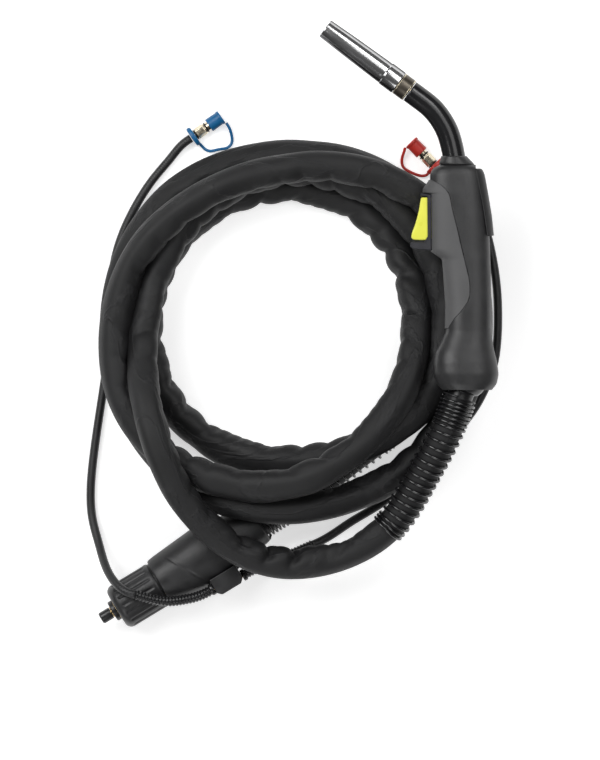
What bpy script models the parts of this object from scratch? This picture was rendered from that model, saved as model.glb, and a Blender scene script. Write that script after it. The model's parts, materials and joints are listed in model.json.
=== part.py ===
"""Water-cooled MIG welding torch, lying flat with its hose package coiled beside it.

The swan neck and gas nozzle point up and to the left, the handle lies on the right-hand side of
the coil, and the machine adaptor with its union nut lies at the lower left. Two thin water hoses
leave a block on the adaptor and end in quick couplings with dust caps.

Every length below is in millimetres. The part's frame is +X to the right, +Y up the layout and +Z
away from the floor, with the origin on the floor under the middle of torch and adaptor.
"""

import math

import bmesh
import bpy
import numpy as np
from mathutils import Euler, Matrix, Vector

MM = 0.001  # metres in a millimetre

# ---------------------------------------------------------------- sizes shared by several pieces
GAP = 0.3  # clearance between pieces that touch
RUNNING = 0.4  # clearance round pieces that turn or slide
HOSE_DIAMETER = 28.6  # textile sheath over power cable, wire conduit, gas and water lines
WATER_HOSE_DIAMETER = 8.6
GUARD_DIAMETER = 10.6  # ribbed bend guard of a water hose
NECK_DIAMETER = 22.6

# ---------------------------------------------------------------- the coiled hose package
RING_CENTRE = (-18.3, -9.5)
FIRST_STATION = 60.0  # degrees clockwise from +X, seen from above
STATION_STEP = 30.0
# Each station of the coil, one row a turn: distance from the ring's centre, then height.
RING_RADII = (
    (220, 229, 191, 152, 135.5, 139, 150, 164, 172, 173, 167, 155),
    (135, 126, 127, 130, 133, 138, 144, 149, 150, 145, 136, 134),
    (138, 150, 161, 170, 166.5, 163, 159, 166, 187, 202, 197.5, 188.5),
    (179, 175, 174, 169, 166, 172, 178, 181, 190, 191, 180),
)
FLOOR_LEVEL = HOSE_DIAMETER * 0.4  # a loop on the floor is pressed flat by a tenth of its width
RING_HEIGHTS = (
    (63, 60, 89.3, 92.8, 54, 44, 43, 39, 36, 37, 42, 49),
    (53, 38.2, 17, 11.6, 11.6, 11.6, 11.6, 11.6, 11.6, 19, 44, 73.5),
    (86, 84, 71.4, 60.6, 54.5, 62, 73, 69.2, 62.6, 48.4, 41, 42),
    (43.5, 59, 43.5, 30, 24.5, 23, 14, 11.6, 11.6, 11.6, 11.6),
)
# From the handle's swivel down to the coil, and from the coil to the adaptor.
HOSE_START = ((148.3, -104.5, 87.2), (138.3, -124.5, 83.4), (124.3, -149.5, 76.2))
HOSE_END = ((146.8, -48.5, 12.5), (122.8, -76.5, 14.5), (91.8, -104.5, 18.7), (48.8, -136.5, 19.4),
            (4.8, -170.5, 22.8))
POINTS_PER_TURN = 24
UNDER_SPRING = 27  # points of the route, 6 apart, that lie under a spring

# ---------------------------------------------------------------- springs over the hose ends
SPRING_WIRE = 2.8
SPRING_OUTSIDE = 37.0
SPRING_CURLS = (7, 14, 2)  # close coils at the rigid end, open coils, close coils at the free end
CLOSE_PITCH = 4.1
OPEN_PITCH = 8.1
POINTS_PER_CURL = 9

# ---------------------------------------------------------------- handle
BALL_CENTRE = (167.75, -52.5, 88.0)
BALL_RADIUS = 21.0
BALL_GAP = 1.0  # round the ball and its cup, whose spheres have flat facets
BALL_TILT = 20.0  # degrees by which the hose leaves the handle's long axis
CUP_WALL = 2.2
CUP_SPAN = (0.5, 15.0)  # along the handle; the cup leaves room for the rear lip when the handle tips
SPIGOT_RADIUS = HOSE_DIAMETER / 2
SPIGOT_END = 34.0  # from the ball's centre
SPRING_SEAT = 23.5
HANDLE_WALL = 2.6
HANDLE_END = -12.0  # the handle's rear rim, from the ball's centre
# Outline of the handle seen from its side: height above the ball's centre, underside (trigger
# side), back, and half of its thickness.
HANDLE_STATIONS = (
    (-12.0, -24.0, 25.0, 24.6),
    (-6.0, -29.5, 30.0, 26.4),
    (4.0, -33.2, 32.0, 27.5),
    (16.0, -33.4, 30.3, 26.6),
    (26.0, -31.4, 27.8, 24.5),
    (35.0, -26.5, 26.0, 22.6),
    (46.0, -21.3, 25.2, 21.0),
    (72.0, -20.6, 25.0, 20.0),
    (106.0, -23.0, 24.0, 18.8),
    (119.0, -24.0, 23.6, 18.6),
    (122.5, -30.5, 23.5, 18.6),
    (127.0, -36.3, 23.4, 18.6),
    (162.0, -36.5, 21.8, 18.5),
    (184.0, -36.7, 19.4, 17.9),
    (203.0, -36.4, 17.0, 16.4),
    (209.0, -34.0, 14.5, 14.8),
    (212.5, -26.0, 8.5, 11.5),
)
SECTION_POINTS = 16
CAVITY = (33.0, 196.0)  # the hollow for neck block and switch, along the handle
HANDLE_SCREWS = ((-13.0, 44.5), (12.0, 105.0), (8.0, 192.2))
# Collar round the neck on the handle's front: height, middle, half width and half thickness.
COLLAR_STATIONS = ((212.8, -9.8, 17.3, 14.5), (214.4, -10.4, 16.8, 14.3), (219.6, -12.3, 13.7, 13.5),
                   (221.0, -12.6, 12.9, 12.9))
# Side inlay of soft plastic: its outline seen from the side, from the tip down and back up.
PANEL_OUTLINE = (
    (-43.5, 184.3), (-42.0, 188.0), (-39.0, 193.0), (-36.5, 197.5), (-26.0, 192.0), (-21.0, 187.5),
    (-18.0, 183.0), (-16.5, 178.0), (-14.0, 165.0), (-10.0, 150.0), (-6.0, 133.0), (-2.0, 116.0),
    (2.0, 100.0), (3.0, 92.0), (3.0, 82.0), (1.0, 76.0), (-3.0, 70.0), (-8.0, 64.0), (-13.0, 59.0),
    (-17.0, 53.0), (-19.0, 49.0), (-50.0, 49.0), (-50.0, 184.3),
)
PANEL_RECESS = 1.5
PANEL_PROUD = 0.7
NOSE = 6.6  # how far the panel's tip reaches out above the trigger
NOSE_SPAN = (183.6, 184.4, 188.5, 198.0)
STRAP_OUTLINE = (
    (9.0, 209.0), (10.5, 200.0), (12.5, 190.0), (15.0, 178.0), (17.5, 164.0), (19.5, 150.0),
    (20.6, 141.5), (60.0, 141.5), (60.0, 209.0),
)
STRAP_RISE = 4.0  # how far the strap stands off the back at its lower end
STRAP_RISE_END = 212.0  # the height at which that has gone to nothing
STRAP_RISE_LENGTH = 70.0

# ---------------------------------------------------------------- trigger
TRIGGER_PIVOT = (-33.2, 177.2)
TRIGGER_WIDTH = 14.0
TRIGGER_INSIDE = -33.6  # the lever's inner face, which presses the switch
TRIGGER_FACE = (140.0, 168.0)  # from where to where that face is flat
TRIGGER_OUTLINE = (
    (-39.6, 180.0), (-45.2, 179.8), (-46.0, 177.0), (-47.2, 169.0), (-49.0, 161.0), (-51.2, 153.5),
    (-54.8, 143.5), (-55.2, 140.0), (-53.0, 137.6), (-43.0, 137.2), (-36.0, 138.2),
    (TRIGGER_INSIDE, TRIGGER_FACE[0]), (TRIGGER_INSIDE, TRIGGER_FACE[1]), (-31.0, 172.0), (-29.6, 177.0),
    (-31.0, 180.4),
)
SWITCH_CORNERS = ((-27.0, 140.0), (-14.0, 166.0))
PLUNGER_HEIGHT = 147.0
SPRING_BESIDE = 12.0  # from the plunger to the lever's spring, on the side where the face has more room
LEVER_GIVE = 1.4  # how far the pressed lever comes in beside the spring
WINDOW_ROOM = (1.2, 1.6)  # below and above the lever, in the handle and in the bezel
BEZEL_ROOM = (0.7, 0.8)
BEZEL_HALF = 9.3
BEZEL_OUTLINE = (
    (-35.4, 182.8), (-39.0, 182.8), (-45.6, 184.2), (-46.0, 181.2), (-39.3, 180.7), (-38.9, 141.0),
    (-42.4, 135.4), (-54.4, 135.4), (-56.0, 134.6), (-56.2, 130.6), (-51.0, 128.4), (-35.4, 127.2),
)
PIN_RADIUS = 1.5
PIN_REACH = 10.4

# ---------------------------------------------------------------- neck, nozzle and inner parts
NECK_PATH = (
    (-56.5, 285.7), (-46.9, 278.6), (-35.0, 269.0), (-26.0, 258.0), (-19.0, 245.0), (-15.0, 232.0),
    (-12.6, 220.0), (-11.0, 208.0), (-9.8, 197.0), (-9.0, 188.0),
)
NECK_TUBE_DIAMETER = 15.6
NECK_BLOCK = ((-20.0, 167.0, -12.0), (4.0, 186.0, 12.0))
NOZZLE_ANGLE = 143.4  # degrees from +X to the way the nozzle points
INSULATOR_LENGTH = 13.6
NOZZLE_LENGTH = 91.6
NOZZLE_REAR_RADIUS = 12.2
NOZZLE_TIP_RADIUS = 9.9
NOZZLE_BORE = 8.4
NOZZLE_SEAT = 9.4  # bore radius where the nozzle pushes on to its holder
HOLDER_LENGTH = 46.0
HOLDER_RADIUS = 6.0
CONTACT_TIP_RADIUS = 4.0
CONTACT_TIP_SETBACK = 7.0  # behind the nozzle's mouth
WIRE_BORE = 1.0

# ---------------------------------------------------------------- machine adaptor
ADAPTOR_ORIGIN = (-139.15, -258.4)  # on the axis, where nut and housing meet
ADAPTOR_ANGLE = 211.2  # degrees from +X to the way the plug points
ADAPTOR_HEIGHT = 25.6
NUT_LENGTH = 50.0
NUT_RADIUS = 23.8
NUT_FLUTES = 16
HOUSING_STATIONS = (  # distance behind the nut, half width, half thickness
    (0.0, 24.6, 24.2), (3.0, 26.0, 25.0), (18.0, 27.4, 25.5), (43.0, 29.5, 25.6), (55.0, 30.4, 25.6),
    (68.0, 30.0, 25.5), (85.0, 26.4, 24.6), (103.0, 23.0, 22.4), (116.0, 21.2, 21.0), (118.2, 20.0, 19.8),
)
HOUSING_LENGTH = HOUSING_STATIONS[-1][0]
HOUSING_BORE = 13.5
HOSE_ENTRY = 9.5  # bore radius at the hose end
HOUSING_SCREWS = ((-24.0, 18.5), (-92.0, -17.5))
HOUSING_SPIGOT = 16.0
CREASE_WIDTH = 1.2
CREASE_ENDS = ((-19.0, -20.3), (-42.4, 24.2))
PLUG_RADIUS = 10.0
PLUG_PROUD = 4.5
INLET_RADIUS = 3.0
CAP_RADIUS = 6.0
CAP_REACH = 68.5

# ---------------------------------------------------------------- water block and couplings
BLOCK_START = 44.6
BLOCK_END = 74.6
BLOCK_SIDES = (23.0, 42.0)
BLOCK_HEIGHTS = (-8.0, 21.5)
BLUE_EXIT = (32.4, 14.8)  # from the adaptor's axis: sideways, upwards
RED_EXIT = (36.4, 0.5)
BLUE_GUARD = (
    (-44.2, 32.4, 14.8), (-38.0, 32.3, 14.9), (-25.7, 30.6, 18.4), (-12.0, 26.0, 22.5), (3.6, 18.0, 27.6),
    (14.0, 9.0, 29.9), (25.0, -2.4, 30.4),
)
RED_GUARD = (
    (-75.0, 36.4, 0.5), (-82.0, 36.6, 0.2), (-100.0, 39.3, -4.0), (-125.0, 43.2, -11.5), (-150.5, 46.6, -17.6),
)
BLUE_HOSE = (
    (-178.2, -262.5, 51.5), (-186.3, -253.0, 43.0), (-193.8, -239.0, 29.0),
    (-199.2, -222.0, 15.5), (-204.0, -205.0, 7.6), (-208.0, -186.0, 4.6), (-208.4, -164.5, 4.4),
    (-207.2, -145.5, 4.4), (-203.5, -115.0, 4.4), (-198.6, -82.0, 4.4), (-193.8, -50.0, 4.4),
    (-190.6, -20.0, 4.4), (-189.2, 10.0, 4.4), (-188.0, 38.0, 4.4), (-184.3, 66.0, 4.4),
    (-176.6, 92.0, 4.4), (-166.5, 114.0, 4.4), (-155.0, 134.0, 4.4), (-144.0, 149.5, 4.4),
    (-131.5, 164.5, 4.4), (-119.5, 175.9, 5.2), (-112.0, 182.6, 6.2),
)
RED_HOSE = (
    (16.5, -220.8, 6.8), (32.0, -211.0, 5.2), (49.0, -199.5, 4.4), (67.0, -188.6, 4.4),
    (85.0, -177.5, 4.4), (104.0, -162.5, 4.4), (123.0, -144.5, 4.4), (143.0, -124.0, 4.4),
    (160.5, -104.5, 4.4), (176.0, -84.5, 4.4), (188.0, -62.5, 4.4), (195.8, -41.0, 4.4),
    (199.4, -20.0, 4.4), (200.6, 5.0, 4.4), (200.0, 31.0, 4.4), (197.4, 55.0, 4.4),
    (193.4, 77.0, 4.4), (187.4, 99.0, 4.4), (178.4, 119.5, 4.4), (166.4, 136.5, 4.4),
    (153.8, 148.6, 5.2), (142.6, 155.8, 6.4),
)
HOSE_POINT_PITCH = 25.0
RIB_PITCH = 3.4
RIB_DEPTH = 0.9
BARB_RADIUS = 1.7
GUARD_BORE = 5.6
BLUE_COUPLING = (-105.3, 190.0, 35.0)  # ring centre, then the way the cap points
RED_COUPLING = (137.3, 160.0, 134.4)
COUPLING_HEIGHT = 7.5
KEEPER_HALF = 2.4  # half the thickness of the strap's ring
KEEPER_REACH = 10.3
DUST_CAP_RADIUS = 7.1
DUST_CAP_LENGTH = 15.4
DUST_CAP_START = 19.0
STEM_RADIUS = 4.0
NIPPLE_RADIUS = 4.6
BAND_SIZE = (1.6, 3.0)
BLUE_BAND = (
    (-71.5, 202.3, 6.4), (-69.2, 198.5, 5.0), (-67.2, 192.5, 3.2), (-66.4, 187.0, 2.2), (-67.7, 182.0, 1.9),
    (-71.7, 178.7, 1.9), (-77.7, 177.5, 1.9), (-83.7, 176.3, 1.9), (-89.2, 175.6, 1.9), (-93.8, 177.6, 2.2),
    (-97.0, 180.8, 3.2), (-99.6, 183.4, 4.4),
)
RED_BAND = (
    (107.2, 178.6, 6.4), (106.2, 174.6, 5.0), (104.6, 169.5, 3.4), (104.1, 164.5, 2.4), (105.6, 159.5, 1.9),
    (110.8, 155.4, 1.9), (117.8, 152.2, 1.9), (124.8, 150.6, 1.9), (129.0, 151.6, 2.6), (131.6, 154.8, 4.2),
)


# ================================================================ tools
def clear_scene():
    for thing in list(bpy.data.objects):
        bpy.data.objects.remove(thing, do_unlink=True)


def paint(name, colour, roughness, metallic=0.0):
    material = bpy.data.materials.new(name)
    material.use_nodes = True
    shader = material.node_tree.nodes["Principled BSDF"]
    shader.inputs["Base Color"].default_value = (*colour, 1.0)
    shader.inputs["Roughness"].default_value = roughness
    shader.inputs["Metallic"].default_value = metallic
    material.diffuse_color = (*colour, 1.0)
    return material


def axis_empty(name, place, turn=(0.0, 0.0, 0.0), parent=None):
    """An empty that carries the pieces built on one axis."""
    empty = bpy.data.objects.new(name, None)
    bpy.context.scene.collection.objects.link(empty)
    empty.location = Vector(place) * MM
    empty.rotation_euler = Euler([math.radians(angle) for angle in turn])
    empty.parent = parent
    return empty


def finish_object(name, data, material, parent, origin=(0.0, 0.0, 0.0)):
    thing = bpy.data.objects.new(name, data)
    bpy.context.scene.collection.objects.link(thing)
    thing.parent = parent
    thing.location = Vector(origin) * MM
    if material is None:
        thing.hide_render = True
        thing.display_type = "WIRE"
    else:
        data.materials.append(material)
    return thing


def solid(name, form, material, parent=None, origin=(0.0, 0.0, 0.0), sharp=35.0):
    """Turn a bmesh in millimetres into a named object; with no material it is a cutter."""
    bmesh.ops.remove_doubles(form, verts=form.verts, dist=0.001)
    bmesh.ops.recalc_face_normals(form, faces=form.faces)
    bmesh.ops.translate(form, verts=form.verts, vec=-Vector(origin))
    bmesh.ops.scale(form, verts=form.verts, vec=(MM, MM, MM))
    mesh = bpy.data.meshes.new(name)
    form.to_mesh(mesh)
    form.free()
    mesh.shade_smooth()
    mesh.set_sharp_from_angle(angle=math.radians(sharp))
    return finish_object(name, mesh, material, parent, origin)


def boolean(thing, operation, *others):
    for other in others:
        modifier = thing.modifiers.new(operation.title(), "BOOLEAN")
        modifier.operation = operation
        modifier.object = other
        other.hide_render = True
        other.display_type = "WIRE"
    return thing


def cut(thing, *cutters):
    return boolean(thing, "DIFFERENCE", *cutters)


def join(thing, *others):
    return boolean(thing, "UNION", *others)


def keep_inside(thing, *others):
    return boolean(thing, "INTERSECT", *others)


def turned(profile, sides=24, start=0.0):
    """Spin a profile of (along X, radius) points round the X axis. A profile that starts and ends
    on the axis gives a solid body, any other is closed on itself and gives a ring."""
    form = bmesh.new()
    corners = [form.verts.new((along, radius, 0.0)) for along, radius in profile]
    edges = [form.edges.new(pair) for pair in zip(corners, corners[1:])]
    if profile[0][1] > 0 or profile[-1][1] > 0:
        edges.append(form.edges.new((corners[-1], corners[0])))
    bmesh.ops.rotate(form, verts=corners, cent=(0, 0, 0), matrix=Matrix.Rotation(math.radians(start), 3, "X"))
    bmesh.ops.spin(form, geom=corners + edges, cent=(0, 0, 0), axis=(1, 0, 0), angle=math.tau,
                   steps=sides, use_merge=True)
    return form


def prism(outline, low, high, bevel=0.0):
    """Extrude a flat outline along Z, with its long edges broken by a small bevel."""
    form = bmesh.new()
    face = form.faces.new([form.verts.new((x, y, low)) for x, y in outline])
    grown = bmesh.ops.extrude_face_region(form, geom=[face])
    raised = [item for item in grown["geom"] if isinstance(item, bmesh.types.BMVert)]
    bmesh.ops.translate(form, verts=raised, vec=(0, 0, high - low))
    if bevel > 0:
        rims = [edge for edge in form.edges if abs(edge.verts[0].co.z - edge.verts[1].co.z) < 1e-6]
        bmesh.ops.bevel(form, geom=rims, offset=bevel, segments=1, affect="EDGES", clamp_overlap=True)
    return form


def block(low, high):
    corners = [(low[0], low[1]), (high[0], low[1]), (high[0], high[1]), (low[0], high[1])]
    return prism(corners, low[2], high[2])


def loft(rings, closed=False):
    """Skin a row of rings with the same number of points; cap the ends, or join last to first."""
    form = bmesh.new()
    rows = [[form.verts.new(point) for point in ring] for ring in rings]
    after_each = rows[1:] + rows[:1] if closed else rows[1:]
    for row, after in zip(rows, after_each):
        for i in range(len(row)):
            j = (i + 1) % len(row)
            form.faces.new((row[i], row[j], after[j], after[i]))
    if not closed:
        form.faces.new(rows[0][::-1])
        form.faces.new(rows[-1])
    return form


def smooth_curve(points, spacing=None, count=None):
    """Natural cubic spline through the points, read at even steps along its length."""
    points = np.array(points, float)
    knots = np.concatenate([[0.0], np.cumsum(np.linalg.norm(np.diff(points, axis=0), axis=1))])
    step = np.diff(knots)
    n = len(points)
    matrix = np.eye(n)
    right = np.zeros_like(points)
    for i in range(1, n - 1):
        matrix[i, i - 1:i + 2] = step[i - 1], 2 * (step[i - 1] + step[i]), step[i]
        slopes = (points[i + 1] - points[i]) / step[i] - (points[i] - points[i - 1]) / step[i - 1]
        right[i] = 6 * slopes
    bend = np.linalg.solve(matrix, right)

    def read(at):
        i = np.clip(np.searchsorted(knots, at) - 1, 0, n - 2)
        width = step[i][:, None]
        a = (knots[i + 1] - at)[:, None] / width
        b = 1 - a
        curve = a * points[i] + b * points[i + 1]
        return curve + ((a**3 - a) * bend[i] + (b**3 - b) * bend[i + 1]) * width**2 / 6

    fine = read(np.linspace(0, knots[-1], 40 * n))
    along = np.concatenate([[0.0], np.cumsum(np.linalg.norm(np.diff(fine, axis=0), axis=1))])
    count = count or max(4, round(along[-1] / spacing) + 1)
    even = np.linspace(0, along[-1], count)
    return np.stack([np.interp(even, along, fine[:, axis]) for axis in range(3)], axis=1)


def length_of(points):
    return float(np.linalg.norm(np.diff(points, axis=0), axis=1).sum())


def tube(name, points, diameter, material, resolution=2, parent=None, radii=None):
    """A tube along the points: a curve with a round bevel and filled caps."""
    curve = bpy.data.curves.new(name, "CURVE")
    curve.dimensions = "3D"
    curve.bevel_depth = diameter / 2 * MM
    curve.bevel_resolution = resolution
    curve.use_fill_caps = True
    spline = curve.splines.new("POLY")
    spline.points.add(len(points) - 1)
    for i, point in enumerate(points):
        spline.points[i].co = (*(Vector(point) * MM), 1.0)
        spline.points[i].radius = 1.0 if radii is None else radii[i]
    return finish_object(name, curve, material, parent)


def as_mesh(thing):
    """Replace a curve object by the mesh it makes, so that it can be cut."""
    mesh = bpy.data.meshes.new_from_object(thing.evaluated_get(bpy.context.evaluated_depsgraph_get()))
    name, parent, location = thing.name, thing.parent, thing.location.copy()
    hidden = thing.hide_render
    bpy.data.objects.remove(thing, do_unlink=True)
    form = bmesh.new()
    form.from_mesh(mesh)
    bmesh.ops.remove_doubles(form, verts=form.verts, dist=1e-7)
    bmesh.ops.recalc_face_normals(form, faces=form.faces)
    form.to_mesh(mesh)
    form.free()
    mesh.name = name
    made = bpy.data.objects.new(name, mesh)
    bpy.context.scene.collection.objects.link(made)
    made.parent = parent
    made.location = location
    made.hide_render = hidden
    made.display_type = "WIRE" if hidden else "TEXTURED"
    return made


def frames_along(points):
    """Unit tangent, and two normals that turn as little as possible, at each point of a path."""
    tangents = np.gradient(points, axis=0)
    tangents /= np.linalg.norm(tangents, axis=1)[:, None]
    normal = np.cross(tangents[0], (0.0, 0.0, 1.0))
    normal /= np.linalg.norm(normal)
    firsts = []
    for tangent in tangents:
        normal = normal - tangent * (normal @ tangent)
        normal /= np.linalg.norm(normal)
        firsts.append(normal)
    firsts = np.array(firsts)
    return tangents, firsts, np.cross(tangents, firsts)


def pipe(path, places, radii, bore_radius, bore_rows, sides):
    """Pipe along a path: outside radii at given places along it, and a plain bore of fewer rows."""
    even = smooth_curve(path, count=160)
    along = np.linspace(0, length_of(even), len(even))
    _, first, second = frames_along(even)
    inner_places = np.linspace(places[-1], places[0], bore_rows)
    rings = []
    for place, radius in [*zip(places, radii), *[(place, bore_radius) for place in inner_places]]:
        middle, across, up = (np.array([np.interp(place, along, grid[:, axis]) for axis in range(3)])
                              for grid in (even, first, second))
        turn = np.linspace(0, math.tau, sides, endpoint=False)[:, None]
        rings.append(middle + radius * (np.cos(turn) * across + np.sin(turn) * up))
    return loft(rings, closed=True)


def wound_spring(path):
    """Helix round a path: close coils at both ends and open ones between them."""
    first_close, open_coils, last_close = SPRING_CURLS
    steps = POINTS_PER_CURL * sum(SPRING_CURLS)
    curls = np.arange(steps + 1) / POINTS_PER_CURL
    lead = np.minimum(curls, first_close) * CLOSE_PITCH
    lead += np.clip(curls - first_close, 0, open_coils) * OPEN_PITCH
    lead += np.maximum(curls - first_close - open_coils, 0) * CLOSE_PITCH
    along = np.concatenate([[0.0], np.cumsum(np.linalg.norm(np.diff(path, axis=0), axis=1))])
    _, first, second = frames_along(path)
    read = [np.stack([np.interp(lead, along, grid[:, axis]) for axis in range(3)], axis=1)
            for grid in (path, first, second)]
    angle = math.tau * curls[:, None]
    radius = (SPRING_OUTSIDE - SPRING_WIRE) / 2
    return read[0] + radius * (np.cos(angle) * read[1] + np.sin(angle) * read[2])


def least_gap(points, diameter, skip):
    """Smallest space between two stretches of a tube that are at least skip apart along it."""
    fine = np.concatenate([points[:-1] + (points[1:] - points[:-1]) * share for share in (0, 0.5)])
    along = np.concatenate([[0.0], np.cumsum(np.linalg.norm(np.diff(points, axis=0), axis=1))])
    places = np.concatenate([along[:-1] + np.diff(along) * share for share in (0, 0.5)])
    apart = np.linalg.norm(fine[:, None] - fine[None], axis=2)
    apart[np.abs(places[:, None] - places[None]) < skip] = np.inf
    return float(apart.min() - diameter)


def ribbed(name, path, material, parent, bore):
    """Bend guard: a pipe whose radius steps up and down at each rib, with a plain collar at each end."""
    length = length_of(path)
    ribs = int(length / RIB_PITCH) - 3
    collar = (length - ribs * RIB_PITCH) / 2
    places, radii = [0.0], [GUARD_DIAMETER / 2]
    for rib in range(ribs):
        start = collar + rib * RIB_PITCH
        places += [start + 0.3 * RIB_PITCH, start + 0.8 * RIB_PITCH]
        radii += [GUARD_DIAMETER / 2 - RIB_DEPTH, GUARD_DIAMETER / 2]
    places.append(length)
    radii.append(GUARD_DIAMETER / 2)
    return solid(name, pipe(path, places, radii, bore / 2, 7, 8), material, parent, sharp=60)


# ================================================================ hose package and springs
def hose_route():
    turns = zip([r for row in RING_RADII for r in row], [h for row in RING_HEIGHTS for h in row])
    stations = []
    for number, (radius, height) in enumerate(turns):
        angle = math.radians(FIRST_STATION + STATION_STEP * number)
        x = RING_CENTRE[0] + radius * math.cos(angle)
        y = RING_CENTRE[1] - radius * math.sin(angle)
        stations.append((x, y, max(height, FLOOR_LEVEL)))
    ball, outwards = np.array(BALL_CENTRE), swivel_direction()
    lead_in = [ball + outwards * (SPIGOT_END + GAP), ball + outwards * (SPIGOT_END + 8.0)]
    rear = HOUSING_LENGTH + HOUSING_SPIGOT
    lead_out = [adaptor_point(-rear - 12.0, 0.0, -0.2), adaptor_point(-rear - 4 * GAP, 0.0, 0.0)]
    route = smooth_curve([*lead_in, *HOSE_START, *stations, *HOSE_END, *lead_out], spacing=6.0)
    # Closer points under the springs, so that the hose follows them; even ones round the coil.
    turn_count = STATION_STEP * len(stations) / 360
    coil = smooth_curve(route[UNDER_SPRING:-UNDER_SPRING], count=round(POINTS_PER_TURN * turn_count) + 1)
    points = np.vstack([route[0], route[2:UNDER_SPRING - 1:3], coil, route[-UNDER_SPRING + 1:-2:3], route[-1]])
    return route, points


def swivel_direction():
    angle = math.radians(-90 - BALL_TILT)
    return np.array([math.cos(angle), math.sin(angle), 0.0])


def adaptor_point(along, aside, up):
    angle = math.radians(ADAPTOR_ANGLE)
    x = ADAPTOR_ORIGIN[0] + along * math.cos(angle) - aside * math.sin(angle)
    y = ADAPTOR_ORIGIN[1] + along * math.sin(angle) + aside * math.cos(angle)
    return (x, y, ADAPTOR_HEIGHT + up)


def build_hose(sheath, spring_steel):
    route, points = hose_route()
    gap = least_gap(points, HOSE_DIAMETER, 5 * HOSE_DIAMETER)
    print(f"hose package: {length_of(points):.0f} mm, least gap to itself {gap:.2f} mm")
    hose = as_mesh(tube("hose_package", points, HOSE_DIAMETER, sheath, 1))
    cut(hose, solid("floor_cutter", block((-260, -320, -40), (260, 260, 0)), None))

    front_path = np.vstack([np.array(BALL_CENTRE) + swivel_direction() * SPRING_SEAT, route])
    rear_seat = adaptor_point(-HOUSING_LENGTH - 2 * GAP - SPRING_WIRE / 2, 0.0, 0.0)
    rear_path = np.vstack([rear_seat, route[::-1]])
    for name, path in (("handle_spring", front_path), ("rear_spring", rear_path)):
        wire = wound_spring(path)
        gap = least_gap(wire, SPRING_WIRE, 0.6 * math.pi * SPRING_OUTSIDE)
        print(f"{name}: {sum(SPRING_CURLS)} curls, least gap to itself {gap:.2f} mm")
        tube(name, wire, SPRING_WIRE, spring_steel, 0)


# ================================================================ handle
def handle_section(height, low, high, half, inset):
    """Ring of points round the handle: a rounded rectangle between underside and back."""
    ring = []
    middle, reach = (low + high) / 2, (high - low) / 2 - inset
    for i in range(SECTION_POINTS):
        angle = math.tau * i / SECTION_POINTS
        c, s = math.cos(angle), math.sin(angle)
        x = middle + reach * math.copysign(abs(c) ** 0.8, c)
        z = (half - inset) * math.copysign(abs(s) ** 0.8, s)
        ring.append((x, height, z))
    return ring


def handle_form(inset=0.0, span=None, back_rise=0.0, nose=0.0):
    """The handle's outer form drawn in by inset, over part of its length. The back may rise towards
    the strap's lower end, and the underside may carry the panel's nose above the trigger."""
    stations = np.array(HANDLE_STATIONS)
    low, high = span or (stations[0, 0] + inset, stations[-1, 0] - inset)
    places = sorted([*stations[:, 0], *NOSE_SPAN[:3]]) if nose else stations[:, 0]
    inner = [h for h in places if low + 0.5 < h < high - 0.5]
    rings = []
    for height in (low, *inner, high):
        under, back, half = (float(np.interp(height, stations[:, 0], stations[:, k])) for k in (1, 2, 3))
        back += back_rise * max(0.0, min(1.0, (STRAP_RISE_END - height) / STRAP_RISE_LENGTH))
        under -= nose * float(np.interp(height, NOSE_SPAN, (0.0, 1.0, 1.0, 0.0)))
        rings.append(handle_section(height, under, back, half, inset))
    return loft(rings)


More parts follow.
